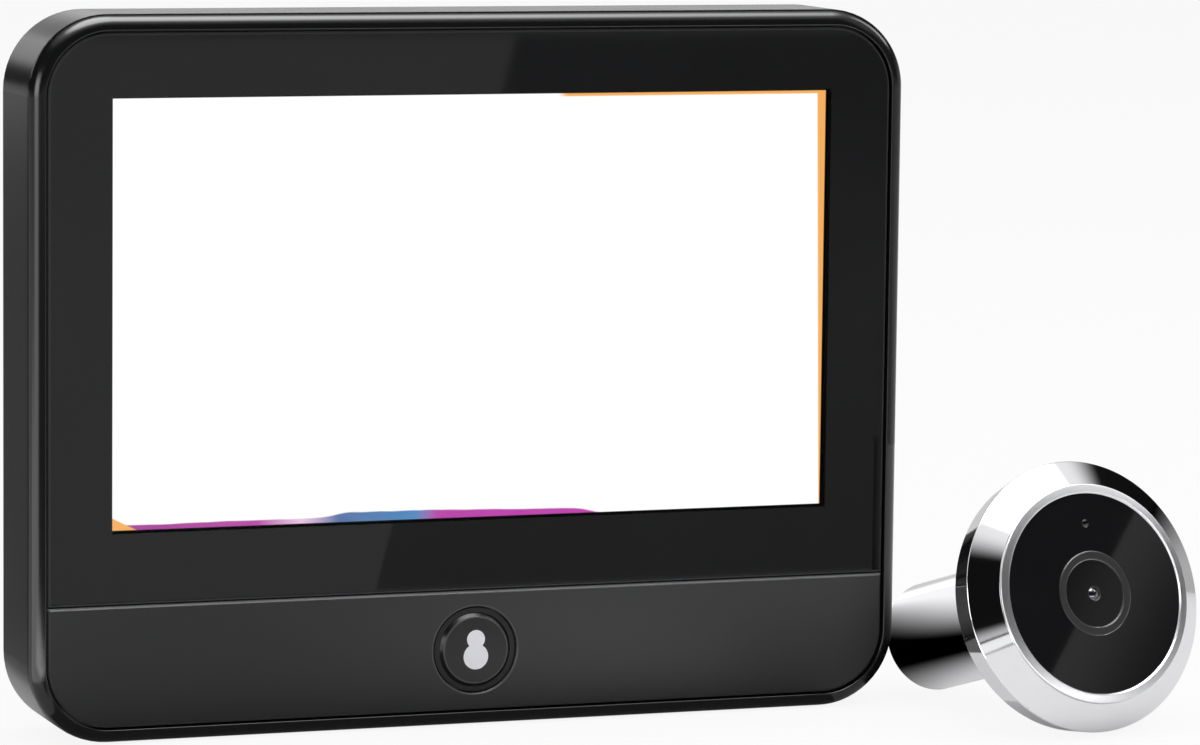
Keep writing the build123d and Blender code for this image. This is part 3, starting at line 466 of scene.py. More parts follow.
class DOORPHONE_PG_monitor(PropertyGroup):
    housing_colour: colour_of("Housing", "Colour of the housing and its front lip", (0.0078, 0.008, 0.0086))
    housing_roughness: share_of("Housing roughness", "Roughness of the housing's plastic", 0.22)
    panel_colour: colour_of("Lower panel", "Colour of the grained panel under the glass", (0.016, 0.0165, 0.0175))
    panel_roughness: share_of("Panel roughness", "Roughness of the grained panel", 0.42)
    print_colour: colour_of("Glass print", "Colour of the print behind the cover glass", (0.0100, 0.0104, 0.0112))
    # The edge colour is a painted highlight: the bright lines on the glass's and the panel's edges, round the button's
    # hole and on the button's rim, laid over the glass's pale ground edge
    edge_highlight_colour: colour_of("Ground edge", "Colour of the ground edge of the glass and the panel", (0.075, 0.076, 0.079))
    button_colour: colour_of("Button", "Colour of the view button", (0.0085, 0.0087, 0.0094))
    figure_colour: colour_of("Button figure", "Colour of the figure moulded into the button", (0.93, 0.93, 0.98))
    screen_light: light_of("Screen light", "Strength of the lit screen, 1 is white", 1.2, 3.0)
    button_front: size_of("Button front", "Place of the button's front face along the monitor's depth", -7.7)
    button_height: size_of("Button height", "Height of the button's centre", 9.75)
    button_face_radius: size_of("Button face", "Radius of the button's flat face", 4.27)
    button_radius: size_of("Button radius", "Radius of the button in the panel's hole", 4.75)
    button_step_radius: size_of("Button step", "Radius of the step round the button, sunk in the hole", 5.44)
    button_flange_radius: size_of("Button flange", "Radius of the flange that keeps the button in", 5.9)
    button_stem_radius: size_of("Button stem", "Radius of the stem behind the button", 2.2)
    hole_radius: size_of("Button hole", "Radius of the button's hole in the panel", 5.6)
    button_segments: facets_of("Button segments", "Facets round the button", 160)
    plate_half_width: size_of("Plate half width", "Half the width of the glass and the panel", 55.95)
    plate_bottom: size_of("Plate bottom", "Height of the panel's lower edge", 2.05)
    plate_top: size_of("Plate top", "Height of the glass's upper edge", 88.75)
    plate_radius: size_of("Plate corner", "Radius of the corners of the glass and the panel", 7.95)
    # Below the glass bevel and above the panel bevel the light edge colour is painted on: a painted highlight along the
    # split between glass and panel, over the glass's ground edge
    glass_bevel: size_of("Glass bevel", "Height up to which the glass shows its ground lower edge", 17.72)
    panel_bevel: size_of("Panel bevel", "Height from which the panel shows its bright upper edge", 17.2)
    lit_left: size_of("Lit area, left", "Left edge of the lit area", -47.52)
    lit_right: size_of("Lit area, right", "Right edge of the lit area", 47.52)
    lit_bottom: size_of("Lit area, bottom", "Lower edge of the lit area", 26.70)
    lit_top: size_of("Lit area, top", "Upper edge of the lit area", 80.56)


class DOORPHONE_PG_outdoor(PropertyGroup):
    chrome_colour: colour_of("Chrome", "Colour of the polished head and barrel", (0.93, 0.93, 0.955))
    chrome_roughness: share_of("Chrome roughness", "Roughness of the polished chrome", 0.06)
    lip_roughness: share_of("Lip roughness", "Roughness of the satin lip", 0.34)
    face_colour: colour_of("Face", "Colour behind the face's glass", (0.0095, 0.0095, 0.0105))
    ring_colour: colour_of("Lens ring", "Colour of the ring round the lens", (0.036, 0.036, 0.038))
    opening_radius: size_of("Face opening", "Radius of the head's opening for the face", 12.95)
    lip_radius: size_of("Lip radius", "Outer radius of the satin lip", 14.15)
    rim_radius: size_of("Rim radius", "Radius of the head where bevel and side band meet", 17.5)
    rim_depth: size_of("Rim depth", "Depth of that rim behind the lip's front", 3.0)
    back_radius: size_of("Back radius", "Radius of the head at its back", 16.8)
    head_depth: size_of("Head depth", "Depth of the head from the lip's front to its back", 7.0)
    seat_radius: size_of("Barrel seat", "Radius of the head's hole for the barrel", 7.5)
    seat_depth: size_of("Seat depth", "Depth of the inner wall that the barrel's flange rests on", 5.5)
    chamber_radius: size_of("Chamber radius", "Radius of the hollow inside the head", 11.9)
    barrel_radius: size_of("Barrel radius", "Outer radius of the barrel", 7.2)
    barrel_bore: size_of("Barrel bore", "Inner radius of the barrel", 6.0)
    barrel_flange: size_of("Barrel flange", "Radius of the barrel's flange inside the head", 8.2)
    barrel_start: size_of("Barrel start", "Depth of the barrel's front end behind the lip's front", 4.7)
    barrel_end: size_of("Barrel end", "Depth of the barrel's far end behind the lip's front", 39.5)
    dish_radius: size_of("Dish radius", "Radius of the lens barrel's dished front", 4.33)
    dish_front: size_of("Dish front", "Depth of the dish behind the lip's front", 0.34)
    lens_hole: size_of("Lens hole", "Radius of the hole that the lens looks out of", 0.72)
    segments: facets_of("Segments", "Facets round the turned pieces", 192)


class DOORPHONE_PG_studio(PropertyGroup):
    camera_x: size_of("Camera X", "Camera's place", -225.33)
    camera_y: size_of("Camera Y", "Camera's place", -672.87)
    camera_z: size_of("Camera Z", "Camera's place", 126.58)
    camera_yaw: angle_of("Camera yaw", "Turn to the right of straight ahead", 19.971)
    camera_pitch: angle_of("Camera pitch", "Tilt down from level", 6.583)
    camera_roll: angle_of("Camera roll", "Turn about the line of sight", 0.663)
    camera_lens: FloatProperty(name="Lens", description="Focal length", default=167.29, unit="CAMERA")
    floor_colour: colour_of("Floor", "Colour of the floor", (0.86, 0.86, 0.86))
    room_light: light_of("Room light", "Even light from all round", 0.42, 2.0)
    ceiling_light: light_of("Ceiling light", "Brightness of the soft box overhead, 1 is white", 1.25, 5.0)
    overhead_gloss: light_of("Overhead gloss", "Brightness overhead as gloss shows it, 1 is white", 10.0, 20.0)
    front_light: light_of("Front light", "Brightness of the soft box at the front right, 1 is white", 0.8, 5.0)


def setting_names(group):
    return [name for name in group.bl_rna.properties.keys() if name not in ("rna_type", "name")]


def values_of(group):
    """The settings of a group as plain values: lengths in millimetres, and colours as tuples."""
    values = {}
    for name in setting_names(group):
        rule = group.bl_rna.properties[name]
        value = getattr(group, name)
        if rule.is_array:
            value = tuple(value)
        elif rule.unit == "LENGTH":
            value = value / MM
        values[name] = value
    return SimpleNamespace(**values)


# Stage

# The camera's sensor in mm, and in metres the floor's reach and how far it lies under the object
SENSOR_WIDTH = 36.0
FLOOR_REACH = 6.0
FLOOR_GAP = 0.0001


def card(name, corners, material):
    """Flat stage card, seen in reflections alone: the four corners in mm are blended by one parameter along each side,
    and the card is the plane quadrilateral between them."""
    piece = mesh_from(name, np.array(corners, float) * MM, [[0, 1, 2, 3]], material)
    piece.visible_camera = False
    piece.visible_diffuse = False
    piece.visible_shadow = False
    piece.visible_transmission = False
    return piece


def glow(name, level, fades):
    """Light from a card: a level that changes by an amount between two places in mm along a direction."""
    finish = Finish(name)
    x, y, z = finish.place()
    for direction, start, stop, change in fades:
        along = x * direction[0] + y * direction[1] + z * direction[2]
        level = (level + along.step(start, stop) * change).most(0.0)
    sockets = {"Color": (1.0, 1.0, 1.0), "Strength": level}
    return finish.close(finish.node("ShaderNodeEmission", None, sockets))


def soft_box(name, place, target, width, height, level):
    """Rectangular area lamp that faces its target, at a brightness where 1 is white."""
    lamp = bpy.data.lights.new(name, "AREA")
    lamp.shape = "RECTANGLE"
    lamp.size = width
    lamp.size_y = height
    lamp.energy = level * math.pi * width * height
    piece = bpy.data.objects.new(name, lamp)
    bpy.context.scene.collection.objects.link(piece)
    piece.location = place
    piece.rotation_euler = (Vector(target) - Vector(place)).to_track_quat("-Z", "Y").to_euler()
    return piece


# Cards that only reflections see: name, corners in mm, light, and how the light changes along directions

ALONG_X = (1.0, 0.0, 0.0)
ALONG_Y = (0.0, 1.0, 0.0)
ALONG_Z = (0.0, 0.0, 1.0)
CARDS = (
    (
        "back_card", [(-130, 900, 0), (900, 900, 0), (900, 900, 330), (-130, 900, 330)], 0.62,
        (ALONG_Z, 150.0, 260.0, 0.7), (ALONG_Z, 280.0, 330.0, -1.0),
    ),
    (
        "high_card", [(-620, 900, 200), (-130, 900, 200), (-130, 900, 420), (-620, 900, 420)], 0.9,
        (ALONG_Z, 330.0, 420.0, -0.7),
    ),
    (
        "right_card", [(900, 900, 0), (900, -150, 0), (900, -150, 330), (900, 900, 330)], 0.42,
        (ALONG_Z, 60.0, 330.0, -0.42),
    ),
    (
        "left_card", [(-450, -290, 1), (-450, -60, 1), (-450, -60, 240), (-450, -290, 240)], 2.3,
        (ALONG_Z, 60.0, 80.0, 2.7), (ALONG_Z, 160.0, 240.0, -5.0),
    ),
    ("left_floor_card", [(-70, -22, 1), (-450, -290, 1), (-450, 110, 1), (-75, 2, 1)], 2.3),
    (
        "glass_shade", [(19.9, -112, 1), (520.6, -1500, 1), (1400, -1500, 1), (400, -112, 1)], 0.34,
        (ALONG_Y, -450.0, -1200.0, -0.2),
    ),
    (
        "floor_shade", [(19.9, -112, 1), (-300, -112, 1), (-700, -1500, 1), (520.6, -1500, 1)], 0.9,
        (ALONG_Y, -150.0, -1300.0, -0.1),
    ),
    ("lip_shade", [(-60, -15, 2), (-640, -470, 2), (-640, -1000, 2), (-130, -1000, 2)], 0.03),
    (
        "foot_shade", [(-58, -5, 0.2), (-58, -24, 0.2), (50, -24, 0.2), (50, -5, 0.2)], 0.1,
        (ALONG_Y, -18.0, -24.0, 0.3),
    ),
    (
        "panel_floor_card", [(-56, -24, 1), (44, -24, 1), (38, -70, 1), (-56, -108, 1)], 0.75,
        (ALONG_X, -25.0, 40.0, 1.5),
    ),
    (
        "far_card", [(-1000, -1501, 0), (-300, -1501, 0), (-300, -1501, 200), (-1000, -1501, 200)], 0.5,
        (ALONG_Z, 0.0, 190.0, -0.5),
    ),
    ("panel_end_card", [(58, -66, 1), (112, -66, 1), (112, -104, 1), (58, -104, 1)], 5.0),
    ("head_floor_card", [(50, -44, 0.3), (64, -44, 0.3), (60, -10, 0.3), (50, -10, 0.3)], 0.6),
    (
        "wall_shade", [(-60, 6, 1), (-66, 60, 1), (-200, 1300, 1), (-900, 1000, 1)], 0.16,
        (ALONG_Y, 30.0, 90.0, -0.07), (ALONG_Y, 1060.0, 1300.0, 0.75),
    ),
    (
        "barrel_side_card", [(59, -18, 0.3), (59, 60, 0.3), (59, 60, 34), (59, -18, 34)], 0.0,
        (ALONG_Z, 6.5, 19.0, 1.0), (ALONG_Y, -13.0, -18.0, -1.0),
    ),
    (
        "barrel_floor_card", [(57, -20, 0.3), (75, -26, 0.3), (95, 90, 0.3), (57, 90, 0.3)], 0.0,
        (ALONG_X, 59.5, 70.0, 0.6),
    ),
    ("button_card", [(-68, -22, 3), (-115, -22, 3), (-115, -66, 3), (-62, -52, 3)], 5.0),
    ("arc_card", [(690, -122, 320), (690, 105, 320), (690, 105, 900), (690, -122, 900)], 4.6),
    (
        "face_card",
        [(386.8, -430.8, 110.7), (516.0, -297.1, 306.8), (654.9, -153.2, 306.8), (525.8, -286.9, 110.7)], 0.5,
        ((1.0, 0.0, -0.659), 314.0, 336.0, -0.46),
    ),
    ("lip_card", [(370, -387, 284), (518, -154, 284), (518, -154, 607), (370, -387, 607)], 0.6),
)


class DOORPHONE_OT_studio(Operator):
    """Camera at the photograph's angle, pale floor, soft boxes, and the dark and bright cards that gloss shows"""

    bl_idname = "doorphone.studio"
    bl_label = "Studio"

    def execute(self, context):
        s = values_of(context.scene.doorphone_studio)
        scene = context.scene
        camera = bpy.data.objects.new("camera", bpy.data.cameras.new("camera"))
        scene.collection.objects.link(camera)
        yaw, pitch, roll = s.camera_yaw, s.camera_pitch, s.camera_roll
        ahead = Vector((math.sin(yaw) * math.cos(pitch), math.cos(yaw) * math.cos(pitch), -math.sin(pitch)))
        level = Vector((math.cos(yaw), -math.sin(yaw), 0.0))
        above = level.cross(ahead)
        right = math.cos(roll) * level + math.sin(roll) * above
        up = math.cos(roll) * above - math.sin(roll) * level
        turn = Matrix((right, up, -ahead)).transposed()
        place = Vector((s.camera_x, s.camera_y, s.camera_z)) * MM
        camera.matrix_world = Matrix.Translation(place) @ turn.to_4x4()
        camera.data.sensor_width = SENSOR_WIDTH
        camera.data.sensor_fit = "HORIZONTAL"
        camera.data.lens = s.camera_lens
        camera.data.clip_start = 0.01
        camera.data.clip_end = 50.0
        scene.camera = camera
        scene.view_settings.view_transform = "Standard"

        # The floor is a square round the origin. A share of it glows white, more of it to the camera than to gloss, and
        # the rest takes the shadow
        floor = Finish("floor")
        rays = floor.node("ShaderNodeLightPath")
        direct = floor.signal(rays.outputs["Is Camera Ray"])
        mirrored = floor.signal(rays.outputs["Is Glossy Ray"]).most(floor.signal(rays.outputs["Is Transmission Ray"]))
        lit = floor.node("ShaderNodeBsdfDiffuse", None, {"Color": s.floor_colour})
        white = floor.node("ShaderNodeEmission", None, {"Color": (1.0, 1.0, 1.0), "Strength": 1.0})
        share = direct * 0.9 + mirrored * 0.05
        ground = floor.node("ShaderNodeMixShader", None, {0: share, 1: lit.outputs[0], 2: white.outputs[0]})
        signs = np.array([(-1, -1, -1), (1, -1, -1), (1, 1, -1), (-1, 1, -1)])
        corners = signs * (FLOOR_REACH, FLOOR_REACH, FLOOR_GAP)
        mesh_from("floor", corners, [[0, 1, 2, 3]], floor.close(ground))

        # White behind the object. Gloss sees a soft light from 41 degrees up and a bright one from 59 degrees up
        world = bpy.data.worlds.new("studio")
        scene.world = world
        room = Finish("studio", world)
        rays = room.node("ShaderNodeLightPath")
        seen = room.signal(rays.outputs["Is Camera Ray"]).most(room.signal(rays.outputs["Is Transmission Ray"]))
        mirrored = room.signal(rays.outputs["Is Glossy Ray"])
        direction = room.node("ShaderNodeTexCoord").outputs["Generated"]
        sky = room.node("ShaderNodeSeparateXYZ", None, {"Vector": direction})
        height = room.signal(sky.outputs["Z"])
        overhead = height.step(0.66, 0.84) * 0.85 + height.step(0.86, 0.97) * s.overhead_gloss + 0.004
        strength = seen + (1 - seen) * (mirrored * overhead + (1 - mirrored) * s.room_light)
        light = room.node("ShaderNodeBackground", None, {"Color": (1.0, 1.0, 1.0), "Strength": strength})
        room.close(light)

        for name in frame["record"]["behaviour"]["bodies"][OUTDOOR]:
            frame["nodes"][name].visible_glossy = False

        ceiling = soft_box("ceiling_box", (0.0, -0.1, 1.0), (0.0, 0.0, 0.0), 1.5, 1.3, s.ceiling_light)
        front = soft_box("front_box", (0.85, -0.82, 0.42), (0.05, 0.0, 0.04), 0.5, 0.6, s.front_light)
        ceiling.visible_glossy = False
        front.visible_glossy = False

        for name, corners, level, *fades in CARDS:
            card(name, corners, glow(name, level, fades))
        return {"FINISHED"}


# Monitor

class DOORPHONE_OT_housing(Operator):
    """Rear housing and front frame: satin black plastic with a fine moulded grain"""

    bl_idname = "doorphone.housing"
    bl_label = "Housing and front frame"

    def execute(self, context):
        s = values_of(context.scene.doorphone_monitor)
        colour, roughness = s.housing_colour, s.housing_roughness
        dress(moulded("housing_plastic", colour, roughness, depth=0.0006, sheen=0.04), "rear_housing")
        dress(moulded("frame_plastic", colour, roughness - 0.04, depth=0.004), "front_frame")
        return {"FINISHED"}


def window_mask(finish, s, soft=0.06, grow=0.0):
    """1 inside the lit area, grown by a margin in mm, and 0 outside it, from the distance to its edges."""
    x, _, z = finish.place()
    left = (x - (s.lit_left - grow)).step(-soft, soft)
    right = (s.lit_right + grow - x).step(-soft, soft)
    low = (z - (s.lit_bottom - grow)).step(-soft, soft)
    high = (s.lit_top + grow - z).step(-soft, soft)
    return left * right * low * high


def ring_mask(finish, s, radius, half_width):
    """1 on a thin ring round the view button's centre, at this radius in mm."""
    x, _, z = finish.place()
    rise = z - s.button_height
    return abs((x * x + rise * rise).root() - radius).step(half_width + 0.06, half_width)


def edge_mask(finish, s, width, soft=0.12):
    """1 within a width in mm of the plates' shared outline, a rectangle with round corners: the distance to it is that
    of the nearest corner's circle, or of the nearest side where that is closer."""
    x, _, z = finish.place()
    across = abs(x) - (s.plate_half_width - s.plate_radius)
    rise = abs(z - (s.plate_bottom + s.plate_top) / 2) - ((s.plate_top - s.plate_bottom) / 2 - s.plate_radius)
    corner = (across.most(0.0) * across.most(0.0) + rise.most(0.0) * rise.most(0.0)).root()
    outside = corner + across.most(rise).least(0.0) - s.plate_radius
    return outside.step(-width - soft, -width)


class DOORPHONE_OT_cover_glass(Operator):
    """Cover glass: gloss over a black print, with a clear window over the lit area"""

    bl_idname = "doorphone.cover_glass"
    bl_label = "Cover glass"

    def execute(self, context):
        s = values_of(context.scene.doorphone_monitor)
        finish = Finish("cover_glass")
        window = window_mask(finish, s, grow=0.25)
        smudge = finish.grain(14.0, 4.0, 0.6)
        dust = finish.grain(0.5, 2.0, 0.5)
        _, _, z = finish.place()
        # Painted highlight: the glass's outline and its lower edge above the panel take the light edge colour, a line
        # of light over the pale ground edge; the higher roughness there is the ground edge's own
        edge = edge_mask(finish, s, 0.24).most(z.step(s.glass_bevel + 0.1, s.glass_bevel))
        tone = finish.blend(smudge, tint(s.print_colour, 0.85), tint(s.print_colour, 1.2))
        tone = finish.blend(edge, tone, s.edge_highlight_colour)
        ripple = finish.grain(60.0, 1.0)
        shader = finish.shader(
            Base_Color=tone,
            Roughness=0.012 + smudge * 0.02 + dust * 0.006 + edge * 0.3,
            Specular_IOR_Level=0.27,
            Alpha=1 - window * 0.93,
            Normal=finish.bump(ripple, 0.02, 0.2),
        )
        dress(finish.close(shader), "cover_glass")
        dark, light = (0.012, 0.012, 0.013), (0.03, 0.03, 0.032)
        adhesive = mottled("adhesive", (0.4, 3.0, 0.6), dark, light, 0.55, 0.2, (0.02, 0.5))
        dress(adhesive, "glass_tape", "panel_tape", "window_tape", "battery_tape")
        return {"FINISHED"}


class DOORPHONE_OT_screen(Operator):
    """Lit screen: a plain white picture in a thin coloured edge, behind a polarising film"""

    bl_idname = "doorphone.screen"
    bl_label = "Screen"

    def execute(self, context):
        s = values_of(context.scene.doorphone_monitor)
        finish = Finish("lit_screen")
        x, _, z = finish.place()
        lit = window_mask(finish, s, soft=0.05)
        across = (x - s.lit_left) * (1 / (s.lit_right - s.lit_left))
        rise = (z - s.lit_bottom) * (1 / (s.lit_top - s.lit_bottom))
        soft = 0.12
        top_edge = (s.lit_top - z - 0.38).step(soft, -soft) * (across - 0.62).step(-0.01, 0.01)
        side_width = 0.12 + rise * 1.05
        side_edge = (s.lit_right - x - side_width).step(soft, -soft)
        corner_edge = ((x - s.lit_left) * 0.5 + (z - s.lit_bottom) - 1.6).step(soft, -soft)
        wash = finish.grain(3.0, 3.0, 0.6, (3.0, 1.0, 1.0))
        low_width = 0.45 + across.step(0.28, 0.33) * 0.55 - (across - 0.4).most(0.0) * 2.3 + wash * 0.4
        low_width = low_width - across.step(0.64, 0.7) * 0.8
        low_edge = (z - s.lit_bottom - low_width).step(soft, -soft)
        orange = top_edge.most(side_edge).most(corner_edge)
        hue = finish.node(
            "ShaderNodeValToRGB",
            {
                "stops": [
                    (0.0, (0.30, 0.0, 0.24)),
                    (0.2, (0.40, 0.0, 0.31)),
                    (0.26, (0.75, 0.5, 0.7)),
                    (0.31, (0.02, 0.11, 0.30)),
                    (0.42, (0.02, 0.20, 0.46)),
                    (0.45, (0.42, 0.0, 0.33)),
                    (0.66, (0.46, 0.0, 0.36)),
                ]
            },
            {"Fac": across},
        ).outputs[0]
        low_colour = finish.blend(wash * 0.12, hue, (0.95, 0.75, 0.9))
        picture = finish.blend(low_edge, (1.0, 1.0, 1.0), low_colour)
        picture = finish.blend(orange, picture, (0.86, 0.40, 0.10))
        glowing = finish.blend(lit, (0.0, 0.0, 0.0), picture)
        film = finish.grain(0.3, 2.0)
        shader = finish.shader(
            Base_Color=finish.blend(lit, (0.004, 0.004, 0.004), (0.02, 0.02, 0.02)),
            Roughness=0.14 + film * 0.06,
            Emission_Color=glowing,
            Emission_Strength=s.screen_light,
            Normal=finish.bump(film, 0.002, 0.3),
        )
        dress(finish.close(shader), "display_cell")
        return {"FINISHED"}


class DOORPHONE_OT_lower_panel(Operator):
    """Lower panel: dark plastic with a very fine, slightly lighter grain, with painted highlights on its upper edge,
    its outline and round the button's hole
    """

    bl_idname = "doorphone.lower_panel"
    bl_label = "Lower panel"

    def execute(self, context):
        s = values_of(context.scene.doorphone_monitor)
        finish = Finish("grained_panel")
        fine = finish.grain(0.16, 4.0, 0.7)
        speck = finish.cells(0.22)
        wide = finish.grain(6.0, 3.0, 0.6)
        tone = finish.blend(fine * 0.7 + wide * 0.3, tint(s.panel_colour, 0.8), tint(s.panel_colour, 1.25))
        # Painted highlight: the panel's outline and a thin ring round the button's hole take most of the light edge
        # colour, as lines of light on their edges
        edge = edge_mask(finish, s, 0.22).most(ring_mask(finish, s, s.hole_radius + 0.1, 0.1))
        tone = finish.blend(edge * 0.8, tone, s.edge_highlight_colour)
        _, _, z = finish.place()
        # Painted highlight: above the panel bevel the upper edge is painted well over twice as light as the edge
        # colour, for the line of light along the split under the glass
        tone = finish.blend(z.step(s.panel_bevel - 0.15, s.panel_bevel), tone, tint(s.edge_highlight_colour, 2.4))
        relief = fine * 0.6 + speck * 0.4
        shader = finish.shader(
            Base_Color=tone,
            Roughness=s.panel_roughness + (fine - 0.5) * 0.15 + (wide - 0.5) * 0.05,
            Normal=finish.bump(relief, 0.012, 0.7),
        )
        dress(finish.close(shader), "lower_panel")
        return {"FINISHED"}


class DOORPHONE_OT_view_button(Operator):
    """View button: satin black cap with a pale figure moulded in, and the switch pin behind it"""

    bl_idname = "doorphone.view_button"
    bl_label = "View button"

    def execute(self, context):
        s = values_of(context.scene.doorphone_monitor)
        middle = np.array([0.0, s.button_front, s.button_height]) * MM
        angle = np.arange(s.button_segments) * 2 * math.pi / s.button_segments
        out = np.stack([np.cos(angle), np.zeros(len(angle)), np.sin(angle)], axis=1)
        along = np.broadcast_to([0.0, 1.0, 0.0], out.shape)
        face, neck, step = s.button_face_radius, s.button_radius, s.button_step_radius
        flange, stem = s.button_flange_radius, s.button_stem_radius
        corners = [
            (0.0, 0.03), (face, 0.03), (neck + 0.01, 0.5), (step, 0.5), (step, 1.05), (neck, 1.05), (neck, 2.7),
            (flange, 2.7), (flange, 3.5), (stem, 3.5), (stem, 3.95), (0.0, 3.95),
        ]
        radii = [0.0, 0.09, 0.12, 0.06, 0.05, 0.0, 0.05, 0.0, 0.0, 0.0, 0.0, 0.0]
        origin = np.broadcast_to(middle, out.shape)
        plastic = Finish("button_plastic")
        fine = plastic.grain(0.12, 3.0, 0.6)
        # Painted highlight: a thin ring at the edge of the button's flat face takes the light edge colour, for the line
        # of light on its rounding
        rim_highlight = ring_mask(plastic, s, face - 0.02, 0.07)
        well = ring_mask(plastic, s, step - 0.14, 0.42)
        tone = plastic.blend(fine, tint(s.button_colour, 0.88), tint(s.button_colour, 1.12))
        tone = plastic.blend(rim_highlight, tone, s.edge_highlight_colour)
        shader = plastic.shader(
            Base_Color=plastic.blend(well, tone, tint(s.button_colour, 1.6)),
            Roughness=0.22 + (fine - 0.5) * 0.08 + rim_highlight * 0.15 + well * 0.2,
            Specular_IOR_Level=0.28,
            Normal=plastic.bump(fine, 0.002, 0.5),
        )
        cap = carried("view_cap", rounded(corners, radii), origin, out, along, plastic.close(shader), closed=False)
        placed(cap, "view_button", "button", "button_cap")

        # The figure is two joined circles. Seen from their waist, its outline in each direction is the farther of the
        # two places where a ray leaves them: rise * sine + root(radius squared - rise squared + (rise * sine) squared)
        waist = 0.5
        circles = ((1.38, 1.2), (-0.85, 1.65))
        exits = []
        for height, radius in circles:
            rise = height - waist
            exits.append(out[:, 2] * rise + np.sqrt(radius ** 2 - rise ** 2 + (out[:, 2] * rise) ** 2))
        flat = middle + (np.array([0.0, 0.0, waist]) + out * np.maximum(*exits)[:, None]) * MM
        pole = np.broadcast_to(middle + np.array([0.0, 0.0, waist]) * MM, flat.shape)
        back = np.array([0.0, 0.028, 0.0]) * MM
        grid = np.stack([pole, flat, flat + back, pole + back])
        print_white = moulded("figure_print", s.figure_colour, 0.35, 0.1, 0.001, mottle=0.02)
        placed(surface("view_figure", grid, print_white), "view_button", "button_icon", "button_icon")
        dress(moulded("pin_plastic", (0.35, 0.05, 0.04), 0.4), "button_plunger")
        return {"FINISHED"}


# Outdoor camera

def chrome(name, s, satin=False):
    """Polished chrome. On the head its lip, which lies within its radius of the axis at the very front, is satin."""
    finish = Finish(name)
    wipe = finish.grain(5.0, 4.0, 0.6)
    tone = finish.blend(wipe, tint(s.chrome_colour, 0.97), tint(s.chrome_colour, 1.02))
    gloss = s.chrome_roughness + (wipe - 0.5) * 0.03
    sockets = {"Base_Color": tone, "Metallic": 1.0}
    if satin:
        where = finish.node("ShaderNodeTexCoord").outputs["Object"]
        offset = finish.vectors("SUBTRACT", where, tuple(lip_centre)).outputs["Vector"]
        behind = finish.signal(finish.vectors("DOT_PRODUCT", offset, tuple(inward)).outputs["Value"]) * (1 / MM)
        radius = finish.signal(finish.vectors("LENGTH", offset).outputs["Value"]) * (1 / MM)
        lip = behind.step(0.58, 0.5) * radius.step(s.lip_radius + 0.09, s.lip_radius + 0.02)
        gloss = gloss + lip * (s.lip_roughness - s.chrome_roughness)
        sockets["Normal"] = finish.bump(finish.grain(0.09, 3.0, 0.6) * lip, 0.002, 0.5)
    return finish.close(finish.shader(**sockets, Roughness=gloss))


class DOORPHONE_OT_camera_head(Operator):
    """Chrome head of the outdoor camera: satin lip, polished bevel and side band, turned round its axis"""

    bl_idname = "doorphone.camera_head"
    bl_label = "Camera head"

    def execute(self, context):
        s = values_of(context.scene.doorphone_outdoor)
        opening, lip, chamber, seat = s.opening_radius, s.lip_radius, s.chamber_radius, s.seat_radius
        corners = [
            (opening, 0.25), (opening + 0.17, 0.0), (lip, 0.24), (lip, 0.6), (s.rim_radius, s.rim_depth),
            (s.back_radius, s.head_depth), (seat, s.head_depth), (seat, s.seat_depth), (chamber, s.seat_depth),
            (chamber, 1.55), (opening, 1.55),
        ]
        radii = [0.04, 0.1, 0.2, 0.08, 0.22, 0.3, 0.1, 0.1, 0.2, 0.1, 0.1]
        metal = chrome("polished_chrome", s, satin=True)
        head = turned("camera_head", rounded(corners, radii, 7), metal, s.segments)
        placed(head, OUTDOOR, "chrome", "head_bezel")
        return {"FINISHED"}


class DOORPHONE_OT_barrel(Operator):
    """Chrome barrel behind the head, its plug, the cable's rubber outlet and the foam ring that seals on the door"""

    bl_idname = "doorphone.barrel"
    bl_label = "Barrel"

    def execute(self, context):
        s = values_of(context.scene.doorphone_outdoor)
        outer, bore, flange, collar = s.barrel_radius, s.barrel_bore, s.barrel_flange, s.seat_radius - 0.05
        corners = [
            (flange, s.barrel_start), (flange, s.seat_depth), (collar, s.seat_depth), (collar, s.head_depth),
            (outer, s.head_depth), (outer, s.barrel_end), (bore, s.barrel_end), (bore, s.barrel_start),
        ]
        radii = [0.1, 0.1, 0.0, 0.0, 0.0, 0.3, 0.1, 0.1]
        tube = turned("camera_barrel", rounded(corners, radii), chrome("drawn_chrome", s), s.segments)
        placed(tube, OUTDOOR, "chrome", "barrel")
        dress(sheet_metal("plug_metal", (0.55, 0.55, 0.56), 0.34, (1.0, 1.0, 1.0)), "tail_plug")
        dark, light = (0.010, 0.010, 0.011), (0.022, 0.022, 0.023)
        rubber = mottled("rubber", (1.2, 4.0, 0.6), dark, light, 0.55, 0.2, (0.01, 0.4))
        dress(rubber, "cable_grommet", "microphone_boot")
        foam = Finish("closed_foam")
        pores = foam.cells(0.28)
        coarse = foam.cells(0.7)
        shader = foam.shader(
            Base_Color=foam.blend(pores, (0.010, 0.010, 0.010), (0.034, 0.034, 0.035)),
            Roughness=0.9,
            Normal=foam.bump(pores * 0.7 + coarse * 0.3, 0.08, 0.8),
        )
        dress(foam.close(shader), "door_gasket", "speaker_gasket")
        return {"FINISHED"}


